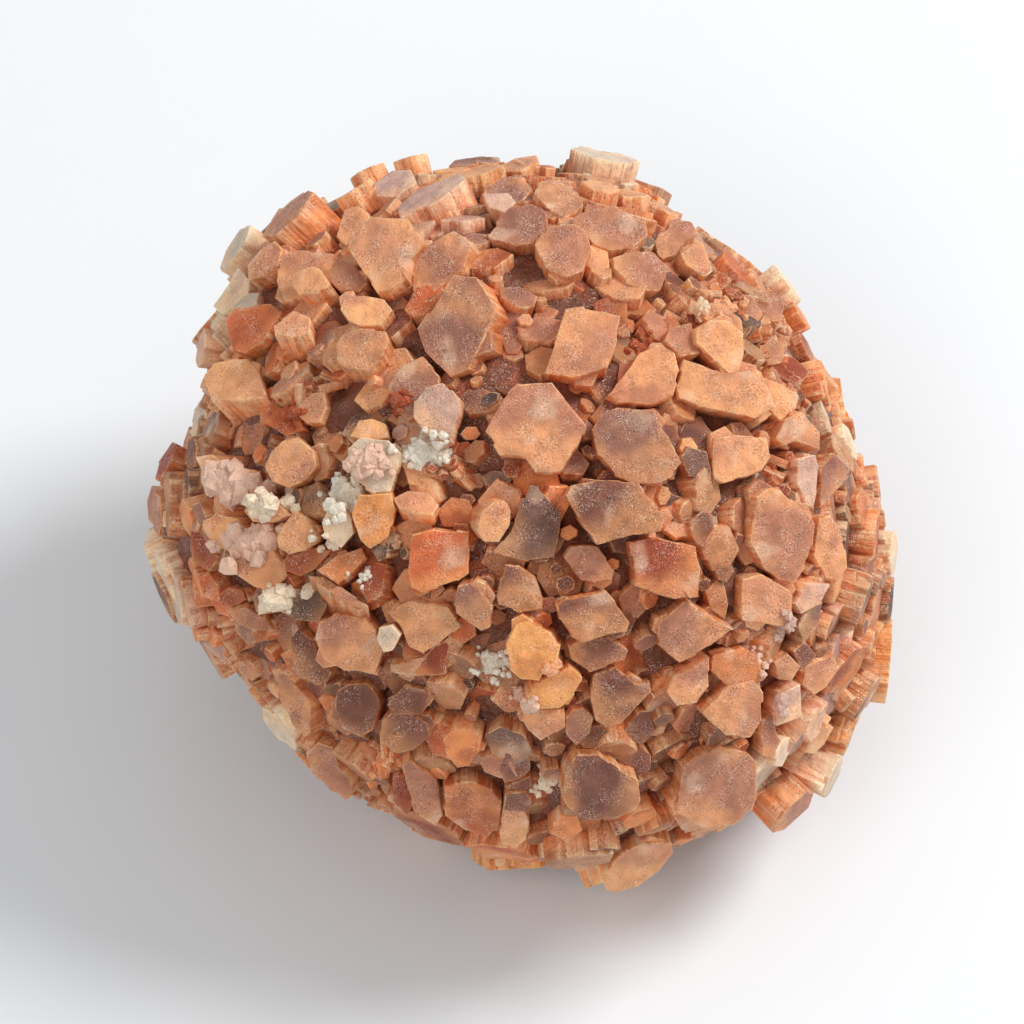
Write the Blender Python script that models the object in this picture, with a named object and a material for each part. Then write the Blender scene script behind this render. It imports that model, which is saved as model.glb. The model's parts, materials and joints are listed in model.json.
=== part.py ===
"""Aragonite star cluster: stubby six-sided crystals that radiate from one core, grown together in one piece.

Run it with Blender: blender --background --python part.py

The cluster is described as it is looked at from in front and above. Positions on it are in millimetres,
measured from the middle of the core: right, up and near (towards the viewer). Each crystal is a prism
with a flat end. The front crystals are listed one by one, and the far side is filled by a seeded rule.
"""

import math
import random

import bmesh
import bpy
from mathutils import Vector

MM = 0.001

# Driving dimensions, in millimetres.
VIEW_ELEVATION = math.radians(58.0)  # the front direction points this far above the horizon
CORE_AT = (0.04, 0.42, 30.2)  # the middle of the core, from the point on the table under the cluster
FRONT_DEPTH = 33.0  # how far the crystals reach towards the front
BACK_DEPTH = 31.0  # and towards the back
SPLAY = 0.8  # a crystal leans outwards by this share of a true radial direction
CORE_SHARE = 0.8  # the core's size, as a share of the cluster's
ROOT_SHARE = 0.62  # the crystals' roots start this far out, inside the core
TAPER = 0.9  # width of a crystal's root, as a share of its end
CORE_LUMPS = 1.6
CORE_DETAIL = 2
SEED = 7

# The cluster's outline as seen from the front: its radius every 15 degrees, from the right side upwards.
OUTLINE = (
    41.5, 39.5, 38.0, 39.5, 38.5, 41.5, 40.5, 41.5, 41.5, 44.0, 41.0, 38.5,
    42.0, 41.5, 36.5, 37.0, 37.0, 37.5, 38.5, 42.5, 41.0, 44.5, 44.5, 44.0,
)  # fmt: skip

# Linear colour of each kind of crystal.
TONES = {
    "rose": (0.52, 0.25, 0.15),
    "mauve": (0.40, 0.20, 0.13),
    "smoke": (0.27, 0.15, 0.10),
    "grey": (0.29, 0.19, 0.15),
    "dark": (0.13, 0.09, 0.08),
    "peach": (0.68, 0.33, 0.17),
    "pale": (0.66, 0.44, 0.33),
    "cream": (0.80, 0.58, 0.42),
    "orange": (0.62, 0.21, 0.07),
    "amber": (0.66, 0.30, 0.11),
    "brick": (0.34, 0.11, 0.06),
    "olive": (0.42, 0.28, 0.17),
    "lilac": (0.62, 0.46, 0.42),
}
CORE_COLOUR = (0.16, 0.05, 0.025)

# The crystals that face the viewer. Each has its tone, how far its end stands above (+) or below (-) the
# cluster's outer surface, which way it leans (right, up) or None for the splay of its place, and the
# corners of its flat end (right, up).
FACING = (
    ("mauve", 1.8, (-0.34, 0.14), ((-11.4, 20.7), (-7.3, 26.8), (-4.7, 26.6), (-2.3, 22.4), (-3.7, 20.2),
                                   (-5.5, 16.2), (-7.7, 15.3), (-10.6, 18.3))),
    ("smoke", 0.3, (-0.35, 0.35), ((-12.1, 24.9), (-12.0, 28.1), (-10.4, 30.3), (-7.4, 31.9), (-5.0, 30.5),
                                   (-6.0, 27.6), (-10.6, 23.6))),
    ("smoke", 0.4, (-0.05, 0.5), ((-3.9, 31.4), (-1.2, 34.5), (1.5, 34.9), (3.1, 33.9), (3.4, 32.0),
                                  (1.6, 30.4), (-0.6, 30.0), (-3.0, 30.6))),
    ("cream", 0.8, (-0.1, 0.6), ((-4.1, 36.0), (-1.4, 36.1), (-0.4, 35.0), (-1.8, 33.9), (-3.5, 34.5))),
    ("smoke", -0.6, None, ((-4.6, 36.2), (-2.2, 38.1), (0.8, 38.2), (1.8, 36.8), (0.2, 35.0), (-3.2, 35.0))),
    ("grey", 0.0, None, ((1.4, 35.9), (2.2, 37.6), (4.5, 37.9), (6.4, 36.4), (7.2, 34.9), (6.2, 33.9),
                         (4.7, 33.1), (2.6, 34.4))),
    ("rose", 1.4, (0.02, 0.45), ((1.5, 30.2), (3.0, 32.4), (6.0, 32.7), (7.4, 31.7), (8.0, 29.6),
                                 (7.0, 27.2), (5.0, 26.4), (2.6, 27.5))),
    ("rose", 1.0, (0.12, 0.5), ((5.4, 32.9), (6.4, 34.0), (10.8, 34.7), (13.6, 33.0), (14.3, 31.2),
                                (12.6, 29.8), (9.8, 29.5), (8.0, 30.1))),
    ("smoke", 0.6, (0.42, 0.42), ((10.2, 29.0), (12.5, 29.8), (15.0, 29.5), (16.5, 27.8), (15.5, 25.0),
                                  (13.5, 25.1), (11.7, 26.0), (10.5, 27.4))),
    ("rose", 2.4, (0.04, 0.26), ((4.8, 22.9), (7.0, 23.4), (10.9, 22.3), (10.7, 19.5), (9.6, 16.2),
                                 (6.0, 15.2), (2.4, 15.9))),
    ("grey", -3.5, None, ((-1.6, 24.8), (0.6, 25.2), (0.9, 24.0), (-0.2, 22.8), (-1.3, 23.4))),
    ("grey", -1.6, None, ((-2.8, 20.8), (-2.1, 22.4), (-0.6, 23.1), (0.3, 22.6), (1.1, 20.6), (0.4, 19.1),
                          (-0.3, 17.9), (-1.5, 17.9))),
    ("grey", -3.5, None, ((-4.0, 16.9), (-3.4, 18.3), (-2.3, 18.6), (-1.1, 17.4), (-1.6, 16.3), (-3.0, 15.8))),
    ("grey", -2.6, None, ((1.9, 20.4), (2.3, 21.5), (4.1, 22.0), (3.8, 20.0), (2.9, 18.4))),
    ("rose", 2.6, (-0.06, 0.12), ((-3.9, 9.3), (-2.3, 12.8), (-0.2, 14.9), (3.5, 15.0), (7.3, 10.3),
                                  (6.3, 7.6), (4.6, 5.0), (1.5, 4.6), (0.2, 6.5), (-2.1, 6.6))),
    ("rose", 2.4, (0.1, 0.1), ((7.6, 9.8), (8.8, 11.7), (10.4, 12.2), (14.7, 12.0), (17.9, 6.0),
                               (16.8, 4.6), (15.3, 3.6), (12.5, 3.6), (10.2, 4.6), (8.5, 6.6))),
    ("mauve", 3.2, (0.1, -0.02), ((4.7, 2.3), (5.3, 3.7), (8.2, 4.4), (12.8, 4.1), (15.8, 0.2), (15.3, -1.7),
                                  (12.5, -2.0), (8.3, -3.1), (6.3, -0.2))),
    ("mauve", 2.6, (0.18, -0.05), ((11.9, -2.4), (15.2, -1.9), (19.3, -3.0), (19.9, -6.0), (19.7, -8.6),
                                   (17.0, -9.0), (14.6, -8.3), (12.3, -7.5))),
    ("smoke", 2.0, (0.08, -0.12), ((3.9, -9.3), (5.2, -8.6), (9.2, -7.7), (10.5, -9.2), (12.1, -11.3),
                                   (11.6, -12.6), (9.3, -13.0), (7.0, -13.8), (5.4, -13.0), (4.2, -11.2))),
    ("rose", 0.4, None, ((4.7, -4.2), (5.6, -2.9), (8.4, -3.0), (10.4, -5.6), (10.0, -7.0), (8.3, -7.2),
                         (6.6, -6.8))),
    ("grey", 0.0, None, ((-0.3, 1.0), (0.9, 3.7), (2.1, 3.5), (4.6, 0.5), (4.3, -1.8), (3.7, -4.5),
                         (1.0, -4.8), (-3.2, -3.8), (-1.3, -1.6))),
    ("smoke", 0.6, None, ((-2.7, -8.6), (-1.8, -5.0), (0.1, -5.2), (1.8, -6.5), (2.6, -8.8), (2.3, -10.2),
                          (0.2, -10.5), (-2.4, -9.7))),
    ("pale", 1.2, None, ((-7.3, -9.5), (-6.8, -7.3), (-5.3, -6.8), (-4.3, -7.6), (-2.9, -9.5), (-3.2, -12.1),
                         (-4.4, -12.5), (-7.2, -10.4))),
    ("grey", -1.6, None, ((2.0, -5.0), (3.8, -4.6), (6.0, -7.4), (5.0, -8.0), (3.2, -8.7), (1.8, -6.6))),
    ("orange", 1.6, (-0.08, -0.12), ((-12.3, -5.5), (-12.0, -1.6), (-9.5, -1.0), (-5.4, -1.5), (-5.4, -6.0),
                                     (-6.8, -7.0), (-10.9, -8.4), (-12.2, -7.8))),
    ("peach", 2.2, (0.25, -0.12), ((-4.3, 0.7), (-2.7, 2.0), (-1.3, 1.8), (-0.9, 0.9), (-1.0, -0.6),
                                   (-2.4, -2.8), (-3.9, -2.8), (-4.8, -1.6))),
    ("peach", 0.8, (-0.1, 0.38), ((-13.9, 2.2), (-12.3, 3.0), (-10.0, 2.8), (-8.9, 1.5), (-9.6, 0.3),
                                  (-11.5, 0.5), (-13.2, 1.1))),
    ("brick", -1.0, None, ((-9.1, 0.8), (-7.5, 2.3), (-5.6, 2.0), (-4.9, 0.2), (-6.0, -1.1), (-8.5, -0.9))),
    ("pale", 1.8, (-0.12, 0.12), ((-11.6, 12.9), (-10.5, 14.5), (-8.3, 15.0), (-6.2, 12.6), (-6.9, 10.2),
                                  (-7.2, 8.0), (-8.3, 7.5), (-10.2, 8.9), (-11.7, 11.0))),
    ("mauve", 0.8, (-0.15, 0.22), ((-14.8, 14.5), (-13.2, 16.8), (-10.8, 17.9), (-8.6, 15.6), (-9.2, 12.0),
                                   (-12.4, 10.6), (-13.9, 12.2))),
    ("peach", 0.6, None, ((-14.8, -10.2), (-12.0, -9.0), (-8.0, -9.5), (-6.2, -11.8), (-8.3, -13.6),
                          (-10.5, -15.0), (-12.3, -14.2), (-13.2, -12.0))),
    ("grey", -0.2, (-0.1, -0.4), ((-14.3, -16.0), (-11.0, -15.2), (-7.4, -12.4), (-6.0, -12.9), (-6.3, -15.6),
                                  (-8.8, -17.0), (-12.6, -17.6), (-14.4, -17.1))),
    ("orange", 2.2, (-0.1, -0.15), ((-1.8, -13.5), (-0.8, -11.3), (1.0, -11.1), (3.5, -12.3), (4.4, -13.8),
                                    (4.0, -15.5), (2.2, -17.8), (0.2, -17.7), (-1.4, -16.3))),
    ("amber", 1.6, (0.1, -0.35), ((0.2, -20.5), (1.2, -18.4), (5.5, -16.2), (7.0, -17.5), (5.8, -19.5),
                                  (4.4, -20.9), (2.0, -21.0))),
    ("cream", 1.0, (0.0, -0.4), ((0.0, -22.0), (0.2, -20.7), (5.0, -21.1), (5.1, -22.9), (2.2, -24.7),
                                 (0.8, -23.6))),
    ("pale", 0.2, None, ((5.0, -22.0), (5.7, -21.1), (6.9, -20.8), (8.1, -21.8), (7.6, -23.7), (6.2, -25.0),
                         (5.1, -23.8))),
    ("mauve", -0.4, None, ((7.2, -22.9), (9.4, -22.8), (10.0, -24.1), (9.0, -25.5), (7.0, -25.3), (6.2, -24.4))),
    ("mauve", 1.2, (0.12, -0.2), ((7.9, -17.0), (10.7, -16.2), (12.7, -18.1), (14.3, -17.8), (14.5, -19.0),
                                  (12.6, -20.9), (10.9, -22.7), (9.7, -23.2), (8.0, -22.0), (7.5, -19.8))),
    ("smoke", 0.6, None, ((5.1, -14.0), (6.3, -13.2), (9.6, -12.9), (11.9, -14.4), (11.4, -15.7), (9.5, -16.3),
                          (7.4, -17.0), (5.5, -15.8))),
    ("mauve", 2.2, (0.12, -0.45), ((4.2, -30.4), (5.0, -27.5), (6.2, -25.8), (8.8, -25.8), (11.0, -27.4),
                                   (13.1, -28.8), (13.4, -31.0), (12.5, -32.5), (10.2, -33.5), (7.2, -33.4),
                                   (5.0, -32.1))),
    ("grey", -0.8, None, ((-2.4, -27.8), (-1.9, -25.4), (-0.3, -25.0), (1.2, -25.6), (1.3, -27.8),
                          (0.2, -28.9), (-1.7, -29.4))),
    ("orange", 1.6, (-0.15, -0.5), ((-8.9, -24.1), (-7.4, -22.9), (-5.5, -23.0), (-4.1, -24.0), (-4.5, -26.0),
                                    (-5.4, -27.4), (-7.1, -27.7), (-8.1, -26.4))),
    ("olive", 1.2, (-0.2, -0.4), ((-15.5, -22.4), (-14.0, -21.4), (-11.8, -21.4), (-10.1, -22.4),
                                  (-9.8, -24.2), (-11.6, -25.7), (-13.8, -26.2), (-15.6, -24.6))),
    ("smoke", 0.2, (-0.2, -0.25), ((-14.9, -20.6), (-12.8, -18.2), (-10.3, -18.8), (-9.8, -20.3),
                                   (-10.8, -21.6), (-14.0, -21.7))),
    ("pale", 1.2, (0.02, -0.62), ((-13.2, -27.6), (-12.1, -26.6), (-9.2, -28.9), (-8.3, -33.0), (-9.3, -34.4),
                                  (-11.4, -33.1), (-12.4, -30.0))),
    ("orange", 0.6, (-0.02, -0.6), ((-8.7, -29.6), (-5.3, -29.1), (-3.0, -30.1), (-1.8, -31.6), (-2.1, -34.0),
                                    (-3.6, -35.7), (-6.0, -34.9), (-8.4, -33.0))),
    ("peach", 0.8, (0.0, -0.7), ((-2.4, -34.9), (-1.9, -32.2), (0.3, -32.2), (1.1, -33.6), (0.7, -36.0),
                                 (-0.5, -37.1), (-2.1, -36.5))),
    ("mauve", -0.2, None, ((-1.9, -32.4), (-1.6, -30.5), (0.6, -30.3), (1.3, -31.5), (0.9, -32.7))),
    ("grey", -1.2, None, ((-1.7, -29.8), (1.1, -28.5), (1.5, -30.2), (0.2, -31.0))),
    ("orange", 0.2, (0.1, -0.65), ((3.1, -35.0), (4.3, -32.8), (6.4, -32.9), (7.0, -34.7), (5.2, -36.3))),
    ("rose", 1.2, (0.2, -0.72), ((9.0, -40.4), (10.5, -38.4), (12.0, -36.9), (14.0, -36.1), (17.0, -36.2),
                                 (17.2, -37.6), (15.9, -39.5), (13.0, -41.6), (11.0, -42.2), (9.5, -41.7))),
    ("grey", -0.4, None, ((10.4, -24.5), (11.7, -22.8), (13.0, -21.2), (14.7, -21.2), (14.9, -23.6),
                          (13.4, -25.1))),
    ("mauve", -0.4, None, ((10.0, -26.4), (13.3, -24.9), (14.5, -26.2), (14.4, -28.0), (13.2, -28.8),
                           (11.7, -27.7))),
    ("rose", 2.4, (0.3, -0.42), ((17.8, -27.8), (19.4, -26.2), (22.4, -25.1), (25.2, -25.9), (26.4, -27.1),
                                 (26.4, -30.8), (25.8, -32.6), (23.5, -34.4), (20.3, -34.6), (17.1, -32.7),
                                 (17.4, -30.0))),
    ("rose", 1.8, (0.3, -0.22), ((20.0, -21.4), (21.6, -19.7), (22.8, -18.2), (25.8, -17.7), (26.8, -19.0),
                                 (26.8, -22.0), (25.4, -24.3), (22.8, -24.2), (21.3, -22.9))),
    ("smoke", 0.8, (0.25, -0.2), ((20.9, -17.0), (21.1, -15.1), (24.5, -14.1), (26.3, -15.1), (27.0, -17.0),
                                  (26.4, -18.3), (22.6, -18.6))),
    ("rose", 0.8, (0.3, -0.3), ((16.9, -17.4), (19.5, -15.9), (20.9, -15.2), (21.0, -18.5), (19.6, -20.3),
                                (17.1, -20.7), (15.7, -19.0))),
    ("rose", 1.6, (0.12, -0.2), ((14.9, -11.6), (18.0, -9.0), (23.6, -12.2), (20.8, -14.2), (17.6, -16.1),
                                 (14.8, -13.8))),
    ("rose", 1.8, (0.4, -0.08), ((25.7, 2.2), (27.5, 3.5), (29.0, 3.0), (31.1, 1.2), (32.5, -0.5),
                                 (32.2, -3.0), (31.4, -5.6), (30.2, -7.4), (28.6, -7.0), (26.4, -5.2),
                                 (25.1, -3.0), (25.3, -0.3))),
    ("amber", 0.8, (0.35, -0.2), ((24.2, -8.5), (24.4, -6.6), (26.6, -6.0), (29.6, -7.6), (30.2, -8.6),
                                  (30.0, -11.9), (28.5, -12.2), (24.3, -11.4))),
    ("peach", 1.2, (0.3, 0.1), ((21.2, 9.0), (23.5, 9.3), (27.3, 9.1), (27.7, 6.8), (27.0, 5.3), (25.0, 4.4),
                                (22.5, 3.7), (21.1, 4.3), (20.9, 6.5))),
    ("grey", 0.0, None, ((17.6, 6.5), (18.3, 7.9), (20.5, 7.3), (21.0, 5.2), (20.4, 3.9), (18.6, 4.6))),
    ("peach", 1.6, (0.28, 0.15), ((17.0, 14.7), (18.0, 17.7), (20.0, 17.1), (22.5, 16.0), (25.6, 16.6),
                                  (27.6, 14.0), (28.1, 12.0), (26.0, 10.7), (23.0, 11.5), (19.5, 12.1),
                                  (17.4, 12.9))),
    ("peach", 0.6, (0.5, 0.12), ((26.0, 16.2), (29.0, 14.8), (31.0, 13.6), (30.6, 11.9), (28.6, 10.6),
                                 (27.6, 11.8))),
    ("olive", 0.8, (0.15, 0.2), ((11.2, 15.6), (13.2, 18.3), (15.2, 19.3), (17.0, 18.3), (17.6, 16.0),
                                 (16.8, 13.4), (14.5, 12.4), (10.5, 12.4), (9.2, 13.2))),
    ("amber", 3.0, (0.32, 0.1), ((19.2, 21.0), (20.8, 22.0), (22.8, 22.0), (24.8, 20.5), (24.9, 18.0),
                                 (24.3, 15.9), (22.8, 15.6), (21.3, 17.1), (20.1, 18.4), (19.1, 19.2))),
    ("orange", 1.8, (0.3, 0.4), ((19.6, 22.3), (20.2, 23.9), (21.8, 24.1), (24.6, 22.0), (25.0, 20.6),
                                 (22.6, 21.4), (20.8, 21.4))),
    ("rose", 0.8, None, ((15.9, 19.5), (16.4, 20.9), (18.8, 21.5), (19.5, 19.2), (19.8, 18.2), (17.6, 17.8))),
    ("brick", -1.4, None, ((12.7, 20.5), (13.6, 22.1), (17.0, 22.3), (18.0, 21.2), (15.8, 19.2), (13.9, 18.6))),
    ("rose", 1.2, (0.28, 0.48), ((14.8, 30.6), (15.6, 31.9), (17.6, 33.3), (19.2, 33.1), (20.0, 31.6),
                                 (18.4, 30.4), (17.6, 29.2), (16.0, 28.6), (15.1, 29.3))),
    ("peach", 1.2, (0.35, 0.4), ((17.8, 29.6), (19.4, 31.0), (20.4, 30.6), (21.6, 27.4), (20.6, 26.6),
                                 (18.4, 28.0))),
    ("mauve", 0.4, (0.5, 0.42), ((26.1, 25.5), (28.5, 25.4), (29.9, 24.0), (29.6, 22.0), (28.0, 21.8),
                                 (26.3, 23.5))),
    ("brick", 0.2, (0.6, 0.3), ((27.7, 16.5), (29.0, 18.1), (30.5, 17.9), (32.3, 16.3), (31.5, 15.3),
                                (29.8, 15.2))),
    ("smoke", 0.2, (0.5, 0.35), ((26.7, 18.8), (28.0, 20.1), (29.5, 19.3), (29.1, 17.3), (27.5, 17.0))),
    ("rose", 0.0, (0.5, 0.45), ((24.4, 24.9), (25.8, 24.8), (27.0, 22.6), (26.3, 21.6), (24.9, 22.5))),
    ("lilac", 0.6, (0.62, 0.2), ((28.0, 8.8), (29.3, 11.2), (31.5, 12.0), (33.4, 9.6), (33.3, 7.4),
                                 (30.5, 8.4), (29.2, 7.8))),
    ("pale", 1.4, (0.6, 0.05), ((30.6, 6.7), (32.6, 7.2), (33.1, 5.5), (32.9, 3.0), (32.5, 0.8), (31.5, 1.2),
                                (30.6, 3.5))),
    ("smoke", 0.8, (0.65, 0.08), ((33.3, 5.8), (34.8, 7.3), (36.0, 6.5), (36.5, 5.2), (36.0, 3.6), (34.4, 2.2),
                                  (33.1, 1.0))),
    ("pale", 0.8, (0.6, -0.1), ((32.5, -1.6), (33.0, 0.1), (34.4, 0.5), (35.5, -1.0), (36.2, -3.5),
                                (36.4, -5.6), (35.4, -7.1), (33.7, -6.9), (32.3, -4.0))),
    ("pale", 1.6, (0.45, -0.25), ((28.7, -19.4), (31.0, -18.4), (31.2, -22.0), (28.4, -23.0), (28.2, -21.0))),
    ("pale", 1.0, (0.4, -0.35), ((26.7, -22.4), (28.0, -21.6), (28.4, -24.0), (28.9, -24.6), (28.0, -26.7),
                                 (26.8, -26.3))),
    ("rose", 0.4, (0.55, -0.3), ((31.4, -16.5), (34.8, -14.9), (35.5, -16.6), (34.0, -18.9), (32.8, -19.7),
                                 (31.2, -18.4))),
    ("mauve", 0.2, (0.5, -0.25), ((30.2, -14.7), (31.5, -13.6), (32.8, -15.2), (31.2, -17.0))),
    ("mauve", 0.2, (0.45, -0.25), ((28.0, -15.9), (29.6, -15.0), (31.0, -16.4), (30.0, -18.0), (28.5, -17.8))),
    ("lilac", 1.0, (0.55, -0.12), ((30.3, -9.5), (31.6, -7.2), (34.3, -7.3), (33.1, -9.5), (31.0, -10.6))),
    ("lilac", 0.4, (0.58, -0.2), ((31.2, -10.6), (33.4, -9.3), (32.9, -12.0), (31.3, -13.9), (30.7, -12.0))),
    ("dark", -1.4, None, ((20.4, -8.0), (21.5, -6.7), (22.5, -7.4), (22.9, -9.5), (22.5, -11.1), (21.0, -10.1))),
    ("grey", -1.8, None, ((15.4, 1.4), (16.4, 2.7), (19.5, 2.0), (20.0, 0.2), (19.2, -1.6), (17.4, -0.6))),
    ("grey", -0.8, None, ((23.5, -12.1), (24.4, -11.3), (26.7, -11.7), (27.1, -12.5), (25.4, -13.4),
                          (24.1, -13.1))),
    ("peach", 1.8, (-0.25, 0.42), ((-19.2, 29.9), (-17.5, 32.6), (-16.3, 33.5), (-12.3, 33.2), (-10.4, 30.5),
                                   (-11.7, 28.7), (-12.0, 26.0), (-14.2, 24.9), (-15.8, 24.8),
                                   (-17.2, 26.9))),
    ("smoke", 0.6, (-0.5, 0.4), ((-30.4, 28.2), (-28.8, 30.1), (-27.2, 31.0), (-26.4, 30.1), (-27.0, 28.0),
                                 (-28.5, 26.8), (-30.3, 26.3))),
    ("mauve", 0.0, (-0.4, 0.4), ((-26.8, 29.1), (-24.8, 29.9), (-20.5, 29.4), (-20.9, 27.0), (-23.5, 24.4),
                                 (-26.2, 23.9), (-27.1, 26.4))),
    ("rose", 1.6, (-0.42, 0.48), ((-25.4, 25.6), (-24.9, 27.2), (-23.2, 27.9), (-22.1, 27.6), (-20.8, 25.8),
                                  (-22.5, 24.7), (-24.4, 24.4))),
    ("rose", -0.2, (-0.6, 0.4), ((-34.5, 23.7), (-33.2, 25.4), (-31.6, 28.2), (-30.0, 26.5), (-30.2, 24.0),
                                 (-33.4, 22.7))),
    ("mauve", 0.4, (-0.55, 0.3), ((-33.0, 22.0), (-31.6, 23.7), (-27.6, 23.9), (-26.3, 22.9), (-28.0, 19.8),
                                  (-30.5, 18.0), (-32.1, 18.4))),
    ("peach", 2.0, (-0.42, 0.5), ((-35.3, 15.8), (-34.2, 17.2), (-30.0, 18.2), (-28.6, 16.0), (-27.7, 13.2),
                                  (-30.8, 13.0), (-34.4, 13.0))),
    ("rose", 1.8, (-0.26, 0.6), ((-27.3, 21.3), (-25.1, 23.0), (-23.0, 22.1), (-23.0, 20.4), (-25.2, 19.8),
                                 (-27.2, 20.2))),
    ("rose", 1.2, (-0.25, 0.4), ((-20.4, 18.9), (-19.6, 20.2), (-17.8, 20.9), (-14.6, 20.7), (-14.2, 19.5),
                                 (-15.0, 17.6), (-16.5, 16.0), (-19.1, 16.2), (-20.3, 17.2))),
    ("peach", 0.6, (-0.22, 0.4), ((-19.9, 22.8), (-19.5, 24.6), (-17.0, 24.6), (-15.0, 24.2), (-13.9, 22.8),
                                  (-15.2, 21.1), (-17.5, 20.9), (-19.1, 21.7))),
    ("mauve", -0.3, (-0.3, 0.45), ((-21.9, 26.6), (-20.0, 29.0), (-18.5, 28.3), (-16.6, 26.0), (-17.6, 24.8),
                                   (-20.0, 25.0))),
    ("mauve", 0.0, (-0.3, 0.55), ((-20.6, 31.2), (-19.6, 34.4), (-18.0, 34.9), (-16.6, 33.8), (-17.6, 31.6),
                                  (-19.4, 30.0))),
    ("smoke", -0.8, (-0.6, -0.05), ((-36.7, -1.4), (-35.2, -0.6), (-34.2, -2.5), (-33.4, -4.4), (-34.5, -6.2),
                                    (-36.4, -5.0))),
    ("mauve", 1.2, (-0.5, -0.28), ((-27.1, -17.8), (-25.7, -17.3), (-24.2, -19.0), (-23.0, -20.6),
                                   (-23.0, -23.8), (-24.0, -24.5), (-25.5, -22.9), (-27.0, -20.0))),
    ("smoke", 1.2, (-0.2, -0.25), ((-20.5, -21.0), (-20.2, -19.0), (-18.8, -18.1), (-16.8, -17.9),
                                   (-15.7, -19.2), (-15.2, -21.0), (-16.0, -23.4), (-17.6, -24.2),
                                   (-19.7, -23.4))),
    ("rose", 2.2, (-0.2, -0.22), ((-22.7, -13.5), (-22.0, -11.2), (-20.5, -10.4), (-17.0, -10.7),
                                  (-15.7, -12.5), (-14.8, -14.5), (-15.7, -17.3), (-17.5, -16.9),
                                  (-19.6, -16.9), (-21.8, -15.7))),
    ("mauve", 1.2, (-0.35, -0.2), ((-25.4, -13.0), (-24.5, -11.9), (-22.8, -13.2), (-22.0, -15.6),
                                   (-20.5, -16.9), (-21.0, -17.9), (-22.4, -18.6), (-24.1, -17.5),
                                   (-25.2, -16.2))),
    ("dark", 0.8, (-0.25, -0.1), ((-26.9, -8.6), (-25.6, -7.5), (-23.5, -7.8), (-22.0, -7.8), (-21.1, -9.4),
                                  (-22.2, -11.7), (-24.8, -11.5), (-26.5, -10.2))),
    ("lilac", 1.4, (-0.1, 0.5), ((-23.4, -6.2), (-21.4, -6.3), (-19.6, -7.4), (-16.4, -9.6), (-19.0, -9.2),
                                 (-21.6, -8.0))),
    ("amber", 0.2, (-0.1, 0.2), ((-22.4, -5.8), (-19.8, -3.9), (-17.3, -2.9), (-16.6, -4.4), (-18.6, -6.3),
                                 (-20.0, -7.4))),
    ("rose", 0.6, (-0.35, 0.1), ((-18.1, -7.0), (-16.1, -4.7), (-14.5, -5.0), (-14.9, -8.4), (-16.8, -9.3))),
    ("peach", 1.8, (-0.25, 0.0), ((-26.7, -2.0), (-25.9, -0.4), (-24.8, 1.0), (-22.9, -0.3), (-22.1, -1.6),
                                  (-22.3, -2.7), (-23.8, -3.7), (-25.4, -4.1), (-26.5, -3.4))),
    ("rose", 0.4, (-0.2, -0.2), ((-26.1, -4.5), (-22.8, -3.2), (-20.3, -3.5), (-22.5, -5.7), (-24.4, -6.5),
                                 (-25.9, -5.9))),
    ("orange", 1.8, (-0.3, 0.12), ((-28.3, 5.6), (-27.5, 7.3), (-26.0, 8.7), (-24.3, 9.1), (-22.6, 7.7),
                                   (-22.2, 5.4), (-23.5, 3.9), (-25.2, 3.2), (-27.5, 4.1))),
    ("peach", 0.8, (-0.5, 0.12), ((-36.1, 6.8), (-34.0, 7.1), (-31.5, 5.9), (-29.4, 5.6), (-28.9, 3.5),
                                  (-30.2, 1.0), (-33.5, 1.7), (-34.5, 3.8))),
    ("cream", 1.0, (-0.35, 0.05), ((-30.4, 0.8), (-29.0, 2.9), (-27.8, 2.6), (-25.1, 0.3), (-27.5, -0.5),
                                   (-29.4, -0.4))),
    ("peach", 0.8, (-0.45, -0.08), ((-35.2, -0.7), (-33.5, 0.6), (-31.0, 0.1), (-29.2, -2.0), (-29.0, -3.7),
                                    (-31.5, -4.1), (-33.7, -3.2))),
    ("cream", 1.2, (-0.3, -0.15), ((-32.3, -5.2), (-29.5, -3.9), (-27.3, -2.9), (-25.9, -4.8), (-25.5, -6.5),
                                   (-27.2, -8.3), (-29.6, -7.6), (-31.7, -6.2))),
    ("rose", -0.8, (-0.4, -0.2), ((-33.5, -8.6), (-32.2, -7.7), (-30.7, -8.0), (-30.4, -9.1), (-31.8, -9.9),
                                  (-33.1, -9.7))),
    ("rose", -0.4, (-0.5, -0.1), ((-35.8, -6.6), (-34.6, -6.0), (-33.5, -7.5), (-33.4, -9.3), (-35.2, -8.8))),
    ("pale", 0.2, (-0.2, -0.4), ((-32.3, -10.4), (-30.5, -9.9), (-28.2, -11.1), (-27.3, -12.5), (-29.5, -12.4),
                                 (-31.2, -11.8))),
    ("cream", 1.2, (-0.15, -0.1), ((-21.7, -0.5), (-20.8, 1.4), (-19.4, 1.1), (-18.5, 0.0), (-18.2, -1.6),
                                   (-19.6, -3.3), (-21.3, -2.2))),
    ("peach", 1.8, (-0.12, 0.08), ((-18.9, 7.8), (-17.8, 8.9), (-14.5, 8.7), (-12.8, 7.0), (-13.3, 5.0),
                                   (-14.0, 2.9), (-16.0, 2.4), (-18.3, 4.0), (-19.0, 6.0))),
    ("peach", 1.0, (-0.15, 0.2), ((-18.6, 9.0), (-17.6, 10.7), (-16.2, 10.9), (-14.7, 10.3), (-14.4, 8.9),
                                  (-16.4, 8.4))),
    ("olive", 1.0, (-0.12, -0.1), ((-18.5, 0.5), (-17.5, 2.7), (-14.0, 2.9), (-13.5, 1.0), (-14.2, -2.2),
                                   (-16.3, -3.5), (-17.6, -2.4))),
    ("olive", 0.0, (-0.35, 0.2), ((-24.9, 11.8), (-23.0, 13.7), (-21.5, 14.0), (-21.3, 12.2), (-22.0, 10.5),
                                  (-23.5, 10.4))),
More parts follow.
